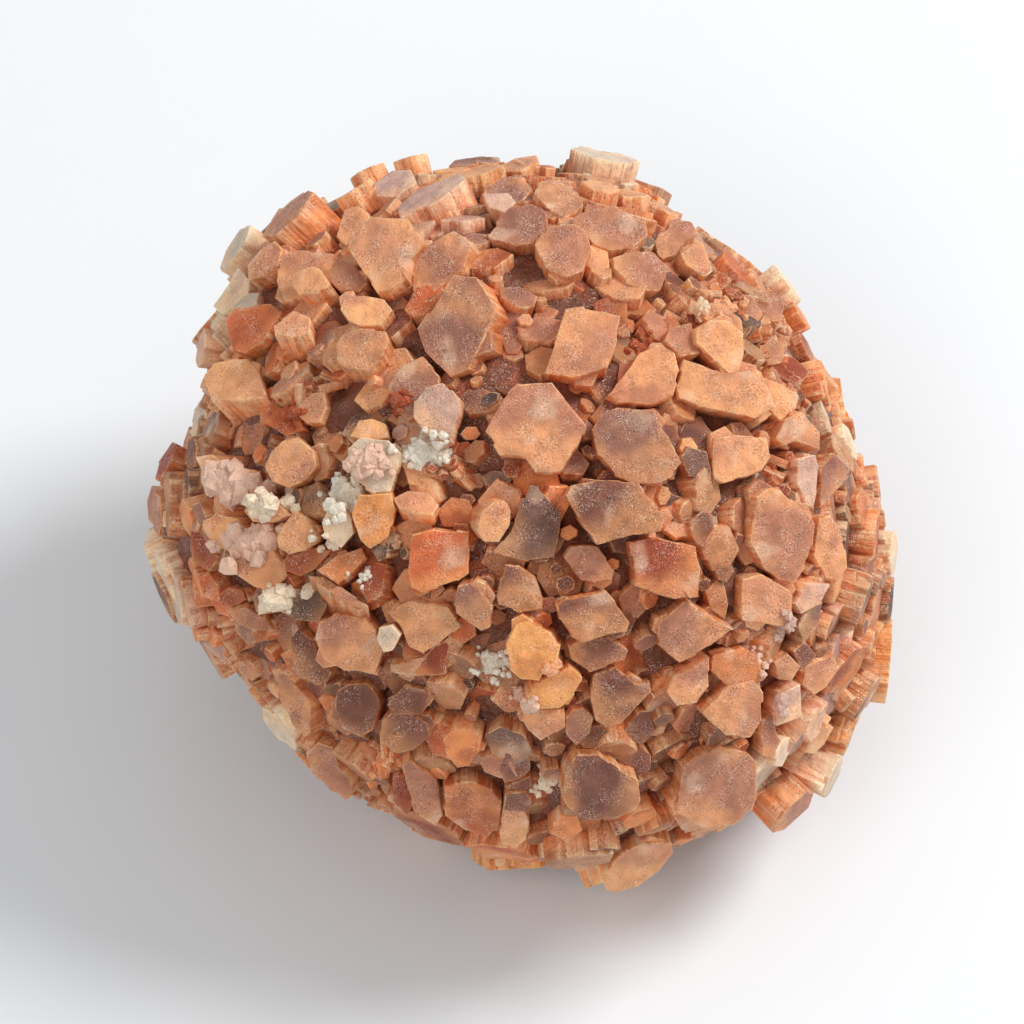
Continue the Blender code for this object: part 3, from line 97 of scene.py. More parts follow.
# The crystals that face the viewer. Each has its tone, how far its end stands above (+) or below (-) the
# cluster's outer surface, which way it leans (right, up) or None for the splay of its place, and the
# corners of its flat end: right, up, right, up and so on, in tenths of a millimetre.
FACING = (
    ("mauve", 1.8, (-0.34, 0.14), (-114, 207, -73, 268, -47, 266, -23, 224, -37, 202, -55, 162, -77, 153,
     -106, 183)),
    ("rose", 0.3, (-0.35, 0.35), (-121, 249, -120, 281, -104, 303, -74, 319, -50, 305, -60, 276, -106,
     236)),
    ("mauve", 0.4, (-0.05, 0.5), (-39, 314, -12, 345, 15, 349, 31, 339, 34, 320, 16, 304, -6, 300, -30,
     306)),
    ("pale", 0.8, (-0.1, 0.6), (-41, 360, -14, 361, -4, 350, -18, 339, -35, 345)),
    ("mauve", -0.6, None, (-46, 362, -22, 381, 8, 382, 18, 368, 2, 350, -32, 350)),
    ("mauve", 0.0, None, (14, 359, 22, 376, 45, 379, 64, 364, 72, 349, 62, 339, 47, 331, 26, 344)),
    ("rose", 1.4, (0.02, 0.45), (15, 302, 30, 324, 60, 327, 74, 317, 80, 296, 70, 272, 50, 264, 26, 275)),
    ("rose", 1.0, (0.12, 0.5), (54, 329, 64, 340, 108, 347, 136, 330, 143, 312, 126, 298, 98, 295, 80,
     301)),
    ("rose", 0.6, (0.42, 0.42), (102, 290, 125, 298, 150, 295, 165, 278, 155, 250, 135, 251, 117, 260, 105,
     274)),
    ("rose", 2.4, (0.04, 0.26), (48, 229, 70, 234, 109, 223, 107, 195, 96, 162, 60, 152, 24, 159)),
    ("mauve", -3.5, None, (-16, 248, 6, 252, 9, 240, -2, 228, -13, 234)),
    ("mauve", -1.6, None, (-28, 208, -21, 224, -6, 231, 3, 226, 11, 206, 4, 191, -3, 179, -15, 179)),
    ("smoke", -3.5, None, (-40, 169, -34, 183, -23, 186, -11, 174, -16, 163, -30, 158)),
    ("rose", -2.6, None, (19, 204, 23, 215, 41, 220, 38, 200, 29, 184)),
    ("rose", 2.6, (-0.06, 0.12), (-39, 93, -23, 128, -2, 149, 35, 150, 73, 103, 63, 76, 46, 50, 15, 46, 2,
     65, -21, 66)),
    ("mauve", 2.4, (0.1, 0.1), (76, 98, 88, 117, 104, 122, 147, 120, 179, 60, 168, 46, 153, 36, 125, 36,
     102, 46, 85, 66)),
    ("smoke", 3.2, (0.1, -0.02), (47, 23, 53, 37, 82, 44, 128, 41, 158, 2, 153, -17, 125, -20, 83, -31, 63,
     -2)),
    ("brick", 2.6, (0.18, -0.05), (119, -24, 152, -19, 193, -30, 199, -60, 197, -86, 170, -90, 146, -83,
     123, -75)),
    ("smoke", 2.0, (0.08, -0.12), (39, -93, 52, -86, 92, -77, 105, -92, 121, -113, 116, -126, 93, -130, 70,
     -138, 54, -130, 42, -112)),
    ("rose", 0.4, None, (47, -42, 56, -29, 84, -30, 104, -56, 100, -70, 83, -72, 66, -68)),
    ("grey", 0.0, None, (-3, 10, 9, 37, 21, 35, 46, 5, 43, -18, 37, -45, 10, -48, -32, -38, -13, -16)),
    ("smoke", 0.6, None, (-27, -86, -18, -50, 1, -52, 18, -65, 26, -88, 23, -102, 2, -105, -24, -97)),
    ("mauve", 1.2, None, (-73, -95, -68, -73, -53, -68, -43, -76, -29, -95, -32, -121, -44, -125, -72,
     -104)),
    ("smoke", -1.6, None, (20, -50, 38, -46, 60, -74, 50, -80, 32, -87, 18, -66)),
    ("orange", 1.6, (-0.08, -0.12), (-123, -55, -120, -16, -95, -10, -54, -15, -54, -60, -68, -70, -109,
     -84, -122, -78)),
    ("peach", 2.2, (0.25, -0.12), (-43, 7, -27, 20, -13, 18, -9, 9, -10, -6, -24, -28, -39, -28, -48, -16)),
    ("peach", 0.8, (-0.1, 0.38), (-139, 22, -123, 30, -100, 28, -89, 15, -96, 3, -115, 5, -132, 11)),
    ("brick", -1.0, None, (-91, 8, -75, 23, -56, 20, -49, 2, -60, -11, -85, -9)),
    ("pale", 1.8, (-0.12, 0.12), (-116, 129, -105, 145, -83, 150, -62, 126, -69, 102, -72, 80, -83, 75,
     -102, 89, -117, 110)),
    ("mauve", 0.8, (-0.15, 0.22), (-148, 145, -132, 168, -108, 179, -86, 156, -92, 120, -124, 106, -139,
     122)),
    ("peach", 0.6, None, (-148, -102, -120, -90, -80, -95, -62, -118, -83, -136, -105, -150, -123, -142,
     -132, -120)),
    ("mauve", -0.2, (-0.1, -0.4), (-143, -160, -110, -152, -74, -124, -60, -129, -63, -156, -88, -170, -126,
     -176, -144, -171)),
    ("amber", 2.2, (-0.1, -0.15), (-18, -135, -8, -113, 10, -111, 35, -123, 44, -138, 40, -155, 22, -178, 2,
     -177, -14, -163)),
    ("amber", 1.6, (0.1, -0.35), (2, -205, 12, -184, 55, -162, 70, -175, 58, -195, 44, -209, 20, -210)),
    ("rose", 1.0, (0.0, -0.4), (0, -220, 2, -207, 50, -211, 51, -229, 22, -247, 8, -236)),
    ("mauve", 0.2, None, (50, -220, 57, -211, 69, -208, 81, -218, 76, -237, 62, -250, 51, -238)),
    ("smoke", -0.4, None, (72, -229, 94, -228, 100, -241, 90, -255, 70, -253, 62, -244)),
    ("smoke", 1.2, (0.12, -0.2), (79, -170, 107, -162, 127, -181, 143, -178, 145, -190, 126, -209, 109,
     -227, 97, -232, 80, -220, 75, -198)),
    ("smoke", 0.6, None, (51, -140, 63, -132, 96, -129, 119, -144, 114, -157, 95, -163, 74, -170, 55,
     -158)),
    ("smoke", 2.2, (0.12, -0.45), (42, -304, 50, -275, 62, -258, 88, -258, 110, -274, 131, -288, 134, -310,
     125, -325, 102, -335, 72, -334, 50, -321)),
    ("smoke", -0.8, None, (-24, -278, -19, -254, -3, -250, 12, -256, 13, -278, 2, -289, -17, -294)),
    ("orange", 1.6, (-0.15, -0.5), (-89, -241, -74, -229, -55, -230, -41, -240, -45, -260, -54, -274, -71,
     -277, -81, -264)),
    ("smoke", 1.2, (-0.2, -0.4), (-155, -224, -140, -214, -118, -214, -101, -224, -98, -242, -116, -257,
     -138, -262, -156, -246)),
    ("smoke", 0.2, (-0.2, -0.25), (-149, -206, -128, -182, -103, -188, -98, -203, -108, -216, -140, -217)),
    ("rose", 1.2, (0.02, -0.62), (-132, -276, -121, -266, -92, -289, -83, -330, -93, -344, -114, -331, -124,
     -300)),
    ("brick", 0.6, (-0.02, -0.6), (-87, -296, -53, -291, -30, -301, -18, -316, -21, -340, -36, -357, -60,
     -349, -84, -330)),
    ("peach", 0.8, (0.0, -0.7), (-24, -349, -19, -322, 3, -322, 11, -336, 7, -360, -5, -371, -21, -365)),
    ("smoke", -0.2, None, (-19, -324, -16, -305, 6, -303, 13, -315, 9, -327)),
    ("smoke", -1.2, None, (-17, -298, 11, -285, 15, -302, 2, -310)),
    ("orange", 0.2, (0.1, -0.65), (31, -350, 43, -328, 64, -329, 70, -347, 52, -363)),
    ("peach", 1.2, (0.2, -0.72), (90, -404, 105, -384, 120, -369, 140, -361, 170, -362, 172, -376, 159,
     -395, 130, -416, 110, -422, 95, -417)),
    ("smoke", -0.4, None, (104, -245, 117, -228, 130, -212, 147, -212, 149, -236, 134, -251)),
    ("smoke", -0.4, None, (100, -264, 133, -249, 145, -262, 144, -280, 132, -288, 117, -277)),
    ("rose", 2.4, (0.3, -0.42), (178, -278, 194, -262, 224, -251, 252, -259, 264, -271, 264, -308, 258,
     -326, 235, -344, 203, -346, 171, -327, 174, -300)),
    ("rose", 1.8, (0.3, -0.22), (200, -214, 216, -197, 228, -182, 258, -177, 268, -190, 268, -220, 254,
     -243, 228, -242, 213, -229)),
    ("brick", 0.8, (0.25, -0.2), (209, -170, 211, -151, 245, -141, 263, -151, 270, -170, 264, -183, 226,
     -186)),
    ("rose", 0.8, (0.3, -0.3), (169, -174, 195, -159, 209, -152, 210, -185, 196, -203, 171, -207, 157,
     -190)),
    ("rose", 1.6, (0.12, -0.2), (149, -116, 180, -90, 236, -122, 208, -142, 176, -161, 148, -138)),
    ("rose", 1.8, (0.4, -0.08), (257, 22, 275, 35, 290, 30, 311, 12, 325, -5, 322, -30, 314, -56, 302, -74,
     286, -70, 264, -52, 251, -30, 253, -3)),
    ("peach", 0.8, (0.35, -0.2), (242, -85, 244, -66, 266, -60, 296, -76, 302, -86, 300, -119, 285, -122,
     243, -114)),
    ("peach", 1.2, (0.3, 0.1), (212, 90, 235, 93, 273, 91, 277, 68, 270, 53, 250, 44, 225, 37, 211, 43, 209,
     65)),
    ("grey", 0.0, None, (176, 65, 183, 79, 205, 73, 210, 52, 204, 39, 186, 46)),
    ("peach", 1.6, (0.28, 0.15), (170, 147, 180, 177, 200, 171, 225, 160, 256, 166, 276, 140, 281, 120, 260,
     107, 230, 115, 195, 121, 174, 129)),
    ("peach", 0.6, (0.5, 0.12), (260, 162, 290, 148, 310, 136, 306, 119, 286, 106, 276, 118)),
    ("rose", 0.8, (0.15, 0.2), (112, 156, 132, 183, 152, 193, 170, 183, 176, 160, 168, 134, 145, 124, 105,
     124, 92, 132)),
    ("peach", 3.0, (0.32, 0.1), (192, 210, 208, 220, 228, 220, 248, 205, 249, 180, 243, 159, 228, 156, 213,
     171, 201, 184, 191, 192)),
    ("peach", 1.8, (0.3, 0.4), (196, 223, 202, 239, 218, 241, 246, 220, 250, 206, 226, 214, 208, 214)),
    ("rose", 0.8, None, (159, 195, 164, 209, 188, 215, 195, 192, 198, 182, 176, 178)),
    ("brick", -1.4, None, (127, 205, 136, 221, 170, 223, 180, 212, 158, 192, 139, 186)),
    ("rose", 1.2, (0.28, 0.48), (148, 306, 156, 319, 176, 333, 192, 331, 200, 316, 184, 304, 176, 292, 160,
     286, 151, 293)),
    ("peach", 1.2, (0.35, 0.4), (178, 296, 194, 310, 204, 306, 216, 274, 206, 266, 184, 280)),
    ("rose", 0.4, (0.5, 0.42), (261, 255, 285, 254, 299, 240, 296, 220, 280, 218, 263, 235)),
    ("brick", 0.2, (0.6, 0.3), (277, 165, 290, 181, 305, 179, 323, 163, 315, 153, 298, 152)),
    ("rose", 0.2, (0.5, 0.35), (267, 188, 280, 201, 295, 193, 291, 173, 275, 170)),
    ("rose", 0.0, (0.5, 0.45), (244, 249, 258, 248, 270, 226, 263, 216, 249, 225)),
    ("rose", 0.6, (0.62, 0.2), (280, 88, 293, 112, 315, 120, 334, 96, 333, 74, 305, 84, 292, 78)),
    ("pale", 1.4, (0.6, 0.05), (306, 67, 326, 72, 331, 55, 329, 30, 325, 8, 315, 12, 306, 35)),
    ("mauve", 0.8, (0.65, 0.08), (333, 58, 348, 73, 360, 65, 365, 52, 360, 36, 344, 22, 331, 10)),
    ("rose", 0.8, (0.6, -0.1), (325, -16, 330, 1, 344, 5, 355, -10, 362, -35, 364, -56, 354, -71, 337, -69,
     323, -40)),
    ("pale", 1.6, (0.45, -0.25), (287, -194, 310, -184, 312, -220, 284, -230, 282, -210)),
    ("rose", 1.0, (0.4, -0.35), (267, -224, 280, -216, 284, -240, 289, -246, 280, -267, 268, -263)),
    ("rose", 0.4, (0.55, -0.3), (314, -165, 348, -149, 355, -166, 340, -189, 328, -197, 312, -184)),
    ("smoke", 0.2, (0.5, -0.25), (302, -147, 315, -136, 328, -152, 312, -170)),
    ("mauve", 0.2, (0.45, -0.25), (280, -159, 296, -150, 310, -164, 300, -180, 285, -178)),
    ("lilac", 1.0, (0.55, -0.12), (303, -95, 316, -72, 343, -73, 331, -95, 310, -106)),
    ("grey", 0.4, (0.58, -0.2), (312, -106, 334, -93, 329, -120, 313, -139, 307, -120)),
    ("smoke", -1.4, None, (204, -80, 215, -67, 225, -74, 229, -95, 225, -111, 210, -101)),
    ("grey", -1.8, None, (154, 14, 164, 27, 195, 20, 200, 2, 192, -16, 174, -6)),
    ("rose", -0.8, None, (235, -121, 244, -113, 267, -117, 271, -125, 254, -134, 241, -131)),
    ("peach", 1.8, (-0.25, 0.42), (-192, 299, -175, 326, -163, 335, -123, 332, -104, 305, -117, 287, -120,
     260, -142, 249, -158, 248, -172, 269)),
    ("rose", 0.6, (-0.5, 0.4), (-304, 282, -288, 301, -272, 310, -264, 301, -270, 280, -285, 268, -303,
     263)),
    ("rose", 0.0, (-0.4, 0.4), (-268, 291, -248, 299, -205, 294, -209, 270, -235, 244, -262, 239, -271,
     264)),
    ("peach", 1.6, (-0.42, 0.48), (-254, 256, -249, 272, -232, 279, -221, 276, -208, 258, -225, 247, -244,
     244)),
    ("cream", -0.2, (-0.6, 0.4), (-345, 237, -332, 254, -316, 282, -300, 265, -302, 240, -334, 227)),
    ("orange", 0.4, (-0.55, 0.3), (-330, 220, -316, 237, -276, 239, -263, 229, -280, 198, -305, 180, -321,
     184)),
    ("peach", 2.0, (-0.42, 0.5), (-353, 158, -342, 172, -300, 182, -286, 160, -277, 132, -308, 130, -344,
     130)),
    ("peach", 1.8, (-0.26, 0.6), (-273, 213, -251, 230, -230, 221, -230, 204, -252, 198, -272, 202)),
    ("rose", 1.2, (-0.25, 0.4), (-204, 189, -196, 202, -178, 209, -146, 207, -142, 195, -150, 176, -165,
     160, -191, 162, -203, 172)),
    ("peach", 0.6, (-0.22, 0.4), (-199, 228, -195, 246, -170, 246, -150, 242, -139, 228, -152, 211, -175,
     209, -191, 217)),
    ("rose", -0.3, (-0.3, 0.45), (-219, 266, -200, 290, -185, 283, -166, 260, -176, 248, -200, 250)),
    ("peach", 0.0, (-0.3, 0.55), (-206, 312, -196, 344, -180, 349, -166, 338, -176, 316, -194, 300)),
    ("brick", -0.8, (-0.6, -0.05), (-367, -14, -352, -6, -342, -25, -334, -44, -345, -62, -364, -50)),
    ("mauve", 1.2, (-0.5, -0.28), (-271, -178, -257, -173, -242, -190, -230, -206, -230, -238, -240, -245,
     -255, -229, -270, -200)),
    ("smoke", 1.2, (-0.2, -0.25), (-205, -210, -202, -190, -188, -181, -168, -179, -157, -192, -152, -210,
     -160, -234, -176, -242, -197, -234)),
    ("rose", 2.2, (-0.2, -0.22), (-227, -135, -220, -112, -205, -104, -170, -107, -157, -125, -148, -145,
     -157, -173, -175, -169, -196, -169, -218, -157)),
    ("smoke", 1.2, (-0.35, -0.2), (-254, -130, -245, -119, -228, -132, -220, -156, -205, -169, -210, -179,
     -224, -186, -241, -175, -252, -162)),
    ("dark", 0.8, (-0.25, -0.1), (-269, -86, -256, -75, -235, -78, -220, -78, -211, -94, -222, -117, -248,
     -115, -265, -102)),
    ("rose", 1.4, (-0.1, 0.5), (-234, -62, -214, -63, -196, -74, -164, -96, -190, -92, -216, -80)),
    ("brick", 0.2, (-0.1, 0.2), (-224, -58, -198, -39, -173, -29, -166, -44, -186, -63, -200, -74)),
    ("brick", 0.6, (-0.35, 0.1), (-181, -70, -161, -47, -145, -50, -149, -84, -168, -93)),
    ("peach", 1.8, (-0.25, 0.0), (-267, -20, -259, -4, -248, 10, -229, -3, -221, -16, -223, -27, -238, -37,
     -254, -41, -265, -34)),
    ("brick", 0.4, (-0.2, -0.2), (-261, -45, -228, -32, -203, -35, -225, -57, -244, -65, -259, -59)),
    ("peach", 1.8, (-0.3, 0.12), (-283, 56, -275, 73, -260, 87, -243, 91, -226, 77, -222, 54, -235, 39,
     -252, 32, -275, 41)),
    ("peach", 0.8, (-0.5, 0.12), (-361, 68, -340, 71, -315, 59, -294, 56, -289, 35, -302, 10, -335, 17,
     -345, 38)),
    ("peach", 1.0, (-0.35, 0.05), (-304, 8, -290, 29, -278, 26, -251, 3, -275, -5, -294, -4)),
    ("peach", 0.8, (-0.45, -0.08), (-352, -7, -335, 6, -310, 1, -292, -20, -290, -37, -315, -41, -337,
     -32)),
    ("rose", 1.2, (-0.3, -0.15), (-323, -52, -295, -39, -273, -29, -259, -48, -255, -65, -272, -83, -296,
     -76, -317, -62)),
    ("brick", -0.8, (-0.4, -0.2), (-335, -86, -322, -77, -307, -80, -304, -91, -318, -99, -331, -97)),
    ("orange", -0.4, (-0.5, -0.1), (-358, -66, -346, -60, -335, -75, -334, -93, -352, -88)),
    ("rose", 0.2, (-0.2, -0.4), (-323, -104, -305, -99, -282, -111, -273, -125, -295, -124, -312, -118)),
    ("cream", 1.2, (-0.15, -0.1), (-217, -5, -208, 14, -194, 11, -185, 0, -182, -16, -196, -33, -213, -22)),
    ("cream", 1.8, (-0.12, 0.08), (-189, 78, -178, 89, -145, 87, -128, 70, -133, 50, -140, 29, -160, 24,
     -183, 40, -190, 60)),
    ("peach", 1.0, (-0.15, 0.2), (-186, 90, -176, 107, -162, 109, -147, 103, -144, 89, -164, 84)),
    ("amber", 1.0, (-0.12, -0.1), (-185, 5, -175, 27, -140, 29, -135, 10, -142, -22, -163, -35, -176, -24)),
    ("peach", 0.0, (-0.35, 0.2), (-249, 118, -230, 137, -215, 140, -213, 122, -220, 105, -235, 104)),
    ("orange", -0.4, (-0.4, 0.2), (-281, 125, -270, 128, -246, 115, -234, 97, -258, 89, -281, 104)),
    ("cream", 3.0, (-0.1, -0.1), (-157, -133, -154, -120, -140, -117, -131, -128, -140, -145, -149, -147)),
    ("rose", 1.4, (-0.42, -0.52), (-241, -262, -225, -249, -208, -254, -202, -275, -188, -290, -185, -308,
     -195, -316, -215, -305, -234, -284)),
    ("brick", 0.2, (-0.15, -0.65), (-142, -286, -128, -284, -115, -318, -126, -335, -144, -315)),
)  # fmt: skip

# The crystals round the rim, which are seen from the side: tone, the middle of the end (right, up, near),
# the direction that the crystal points in (right, up, near), and its width across and through.
RIM = (
    ("cream", (9.5, 40.9, 3), (0.2, 0.95, 0.22), 9.0, 7.0),
    ("peach", (1.5, 39.8, 2), (0.3, 0.93, 0.15), 4.6, 4.0),
    ("smoke", (-5.0, 40.2, 0), (-0.1, 0.95, 0.25), 7.0, 6.0),
    ("lilac", (-10.0, 35.9, 15), (-0.42, 0.80, 0.42), 10.0, 6.0),
    ("lilac", (-13.9, 37.5, 10), (-0.3, 0.75, 0.58), 5.6, 5.6),
    ("peach", (-12.3, 40.5, 1), (-0.25, 0.95, -0.1), 4.6, 5.0),
    ("peach", (-18.5, 36.9, 8), (-0.52, 0.85, 0.05), 5.6, 5.0),
    ("orange", (-17.2, 39.2, 1), (-0.4, 0.9, -0.1), 4.2, 4.0),
    ("rose", (-25.9, 34.2, 10), (-0.68, 0.62, 0.38), 8.2, 6.6),
    ("cream", (-32.0, 30.6, 3), (-0.8, 0.5, 0.3), 6.8, 6.0),
    ("lilac", (-35.8, 19.2, 6), (-0.96, 0.15, 0.24), 5.2, 5.0),
    ("cream", (-36.0, 11.0, 5), (-0.93, 0.2, 0.3), 5.6, 4.4),
    ("brick", (-39.9, 6.3, 4), (-0.85, 0.42, 0.3), 5.4, 5.0),
    ("rose", (-41.4, 1.4, 1), (-0.93, 0.03, 0.35), 4.4, 4.2),
    ("amber", (-39.7, -1.6, 2), (-0.95, 0.0, 0.2), 3.6, 4.0),
    ("cream", (-39.8, -7.6, 4), (-0.9, -0.38, 0.14), 9.0, 7.0),
    ("lilac", (-35.0, -13.3, 6), (-0.66, -0.52, 0.5), 7.6, 5.0),
    ("lilac", (-29.2, -16.9, 7), (-0.75, -0.45, 0.48), 4.8, 4.6),
    ("cream", (-26.9, -23.8, 8), (-0.65, -0.6, 0.45), 6.6, 5.0),
    ("amber", (-17.0, -30.8, 3), (-0.35, -0.85, 0.3), 4.0, 4.0),
    ("rose", (-13.2, -33.4, 2), (-0.3, -0.9, 0.2), 5.2, 4.4),
    ("orange", (-10.2, -35.8, -1), (-0.2, -0.95, 0.1), 4.4, 4.4),
    ("smoke", (-6.2, -36.8, 1), (-0.1, -0.96, 0.15), 4.8, 4.6),
    ("peach", (-2.0, -38.1, 3), (0.0, -0.96, 0.2), 4.8, 4.4),
    ("orange", (2.4, -37.5, 4), (0.05, -0.9, 0.3), 3.8, 3.8),
    ("peach", (20.4, -35.6, 1), (0.3, -0.9, 0.2), 7.4, 5.0),
    ("rose", (30.8, -33.0, 6), (0.68, -0.66, 0.34), 7.2, 6.6),
    ("cream", (35.3, -29.2, 3), (0.88, -0.42, 0.2), 5.8, 6.0),
    ("amber", (37.5, -24.2, 0), (0.93, -0.33, 0.1), 6.4, 6.0),
    ("amber", (41.8, -16.2, -3), (0.99, -0.08, 0.0), 10.2, 8.0),
    ("cream", (42.2, -4.2, 0), (0.97, -0.08, 0.22), 6.0, 5.2),
    ("orange", (39.5, -9.8, -3), (0.97, -0.15, -0.1), 4.4, 4.4),
    ("rose", (40.2, 0.5, 2), (0.9, -0.2, 0.25), 3.8, 3.6),
    ("orange", (37.9, 0.0, 6), (0.9, -0.1, 0.4), 5.8, 4.2),
    ("lilac", (37.5, -8.3, 9), (0.92, -0.2, 0.33), 8.6, 4.2),
    ("lilac", (36.7, -17.2, 10), (0.85, -0.36, 0.38), 9.2, 4.6),
    ("lilac", (33.0, -22.8, 14), (0.82, -0.32, 0.46), 5.2, 3.8),
    ("peach", (38.5, 5.2, 1), (0.85, 0.5, 0.1), 5.4, 4.6),
    ("cream", (35.6, 9.2, 5), (0.9, 0.35, 0.2), 4.0, 4.0),
    ("peach", (34.2, 13.8, 4), (0.9, 0.4, 0.2), 4.8, 4.4),
    ("brick", (32.3, 19.2, 4), (0.88, 0.4, 0.2), 4.4, 4.2),
    ("orange", (31.8, 22.8, 2), (0.85, 0.5, 0.15), 4.2, 4.2),
    ("cream", (30.4, 26.4, 0), (0.78, 0.6, 0.1), 6.0, 5.0),
    ("cream", (24.4, 28.0, 2), (0.6, 0.8, 0.1), 4.4, 4.4),
    ("peach", (22.4, 28.8, 6), (0.6, 0.75, 0.25), 5.0, 2.6),
    ("rose", (20.5, 30.8, 5), (0.55, 0.8, 0.2), 4.0, 4.0),
    ("peach", (16.4, 34.8, 4), (0.4, 0.88, 0.2), 4.8, 4.4),
)

# The far side, which the front view doesn't show: widths to fill with, widest first, and how often to try.
FAR_WIDTHS = (11.6, 10.0, 8.6, 7.4)
FAR_TRIES = 900
FAR_CROWDING = 0.86  # spacing of neighbours, as a share of their mean width
FAR_LIMIT = 0.3  # a direction counts as far side up to this share towards the viewer
FAR_STANDS = (-2.6, 1.0)  # where their ends stand, from the outer surface
FAR_STRETCH = (0.78, 1.15)  # depth of an end, as a share of its width
FAR_WOBBLE = 0.16  # how far a crystal turns from the radial direction
FAR_TONES = ("rose", "mauve", "rose", "peach", "smoke", "orange", "amber", "mauve", "grey", "cream", "brick")
FLOOR_CLEARANCE = 1.2  # ends over the table stop this far above it

# The crystals that the cluster stands on: direction round the vertical in degrees, distance out, and width.
FEET = (
    (-90, 17.0, 8.4), (-22, 19.0, 9.0), (42, 18.0, 8.0), (110, 19.5, 8.8),
    (170, 18.5, 8.2), (228, 17.5, 7.6), (0, 4.0, 8.0),
)  # fmt: skip
FOOT_LEAN = 0.42  # how far out a foot leans for its distance from the middle
FOOT_SINK = 0.8  # how much of a foot's tip is worn off flat
FOOT_THICK = 0.9

RING_CORNERS = 6
RING_TURN = 0.14  # how unevenly the corners of a small crystal are spaced
RING_SIZES = (0.92, 1.08)

RIGHT = Vector((1.0, 0.0, 0.0))
UP = Vector((0.0, math.sin(VIEW_ELEVATION), math.cos(VIEW_ELEVATION)))
NEAR = Vector((0.0, -math.cos(VIEW_ELEVATION), math.sin(VIEW_ELEVATION)))
FLOOR = -CORE_AT[2]  # the table's height, seen from the core


def placed(right, up, near):
    """A front-view position or direction, turned into the upright frame (still from the core's middle)."""
    return RIGHT * right + UP * up + NEAR * near


def outline_radius(angle):
    """The outline's radius at an angle, between the listed values."""
    step = 2 * math.pi / len(OUTLINE)
    place = (angle % (2 * math.pi)) / step
    low = int(place) % len(OUTLINE)
    share = place - int(place)
    return OUTLINE[low] * (1 - share) + OUTLINE[(low + 1) % len(OUTLINE)] * share


def reach(direction):
    """Distance from the core's middle to the cluster's outer surface in a direction of the upright frame."""
    right, up, near = direction.dot(RIGHT), direction.dot(UP), direction.dot(NEAR)
    across = outline_radius(math.atan2(up, right))
    deep = FRONT_DEPTH if near > 0 else BACK_DEPTH
    return 1 / math.sqrt((right * right + up * up) / across**2 + (near / deep) ** 2)


def splayed(right, up):
    """The direction (right, up) in which a crystal leans at a place of the front."""
    radius = math.hypot(right, up)
    out = min(1.0, radius / outline_radius(math.atan2(up, right)))
    lean = math.sin(SPLAY * math.asin(out))
    return (right / radius * lean, up / radius * lean)


class Crystal:
    """One prism: the corners of its end, from the core's middle, and the direction that it points in."""

    def __init__(self, tone, corners, axis):
        self.tone = tone
        self.axis = axis.normalized()
        self.end = sum(corners, Vector()) / len(corners)
        side = self.axis.orthogonal().normalized()
        other = self.axis.cross(side)
        self.corners = sorted(
            corners, key=lambda p: math.atan2((p - self.end).dot(other), (p - self.end).dot(side))
        )
        self.width = 2 * sum((p - self.end).length for p in corners) / len(corners)

    def length(self):
        """From the end down to a root that lies well inside the core."""
        out = self.end.length
        root = ROOT_SHARE * reach(self.end / out)
        across = (self.end - self.axis * self.end.dot(self.axis)).length
        return self.end.dot(self.axis) - math.sqrt(max(0.0, root * root - across * across))


def facing_crystal(tone, stands, lean, tenths):
    """A crystal whose end is seen from the front. Its corners are put on the plane of the end."""
    corners = [(x / 10, y / 10) for x, y in zip(tenths[::2], tenths[1::2])]
    right = sum(c[0] for c in corners) / len(corners)
    up = sum(c[1] for c in corners) / len(corners)
    out = min(1.0, math.hypot(right, up) / outline_radius(math.atan2(up, right)))
    near = FRONT_DEPTH * math.sqrt(1 - out * out) + stands
    lean = lean or splayed(right, up)
    towards = math.sqrt(1 - lean[0] ** 2 - lean[1] ** 2)
    points = []
    for x, y in corners:
        drop = ((x - right) * lean[0] + (y - up) * lean[1]) / towards
        points.append(placed(x, y, near - drop))
    return Crystal(tone, points, placed(lean[0], lean[1], towards))


def ring_crystal(tone, end, axis, across, through, chance):
    """A six-sided crystal with uneven corners; across runs over the front view, through runs into it."""
    axis = axis.normalized()
    side = axis.cross(NEAR)
    if side.length < 0.3:
        side = axis.cross(UP)
    side.normalize()
    other = axis.cross(side)
    turn = chance.uniform(0, 2 * math.pi / RING_CORNERS)
    points = []
    for i in range(RING_CORNERS):
        angle = turn + i * math.pi / 3 + chance.uniform(-RING_TURN, RING_TURN)
        size = chance.uniform(*RING_SIZES)
        wide = side * (across / 2 * size * math.cos(angle))
        deep = other * (through / 2 * size * math.sin(angle))
        points.append(end + wide + deep)
    return Crystal(tone, points, axis)


def scatter(size, chance):
    """A small random turn or shift."""
    return Vector([chance.uniform(-size, size) for _ in range(3)])


def random_direction(chance):
    height = chance.uniform(-1, 1)
    angle = chance.uniform(0, 2 * math.pi)
    flat = math.sqrt(1 - height * height)
    return Vector((flat * math.cos(angle), flat * math.sin(angle), height))


def foot_crystals(chance):
    """Crystals that point down to the table, their worn tips cut off flat there later."""
    feet = []
    for turn, out, width in FEET:
        angle = math.radians(turn)
        end = Vector((out * math.cos(angle), out * math.sin(angle), FLOOR - FOOT_SINK))
        axis = Vector((FOOT_LEAN * end.x / -FLOOR, FOOT_LEAN * end.y / -FLOOR, -1.0))
        feet.append(ring_crystal("peach", end, axis, width, width * FOOT_THICK, chance))
    return feet


def room(crystal, others, crowding):
    """Whether a crystal's end stands clear enough of the others' ends."""
    return all((crystal.end - o.end).length > crowding * (crystal.width + o.width) / 2 for o in others)


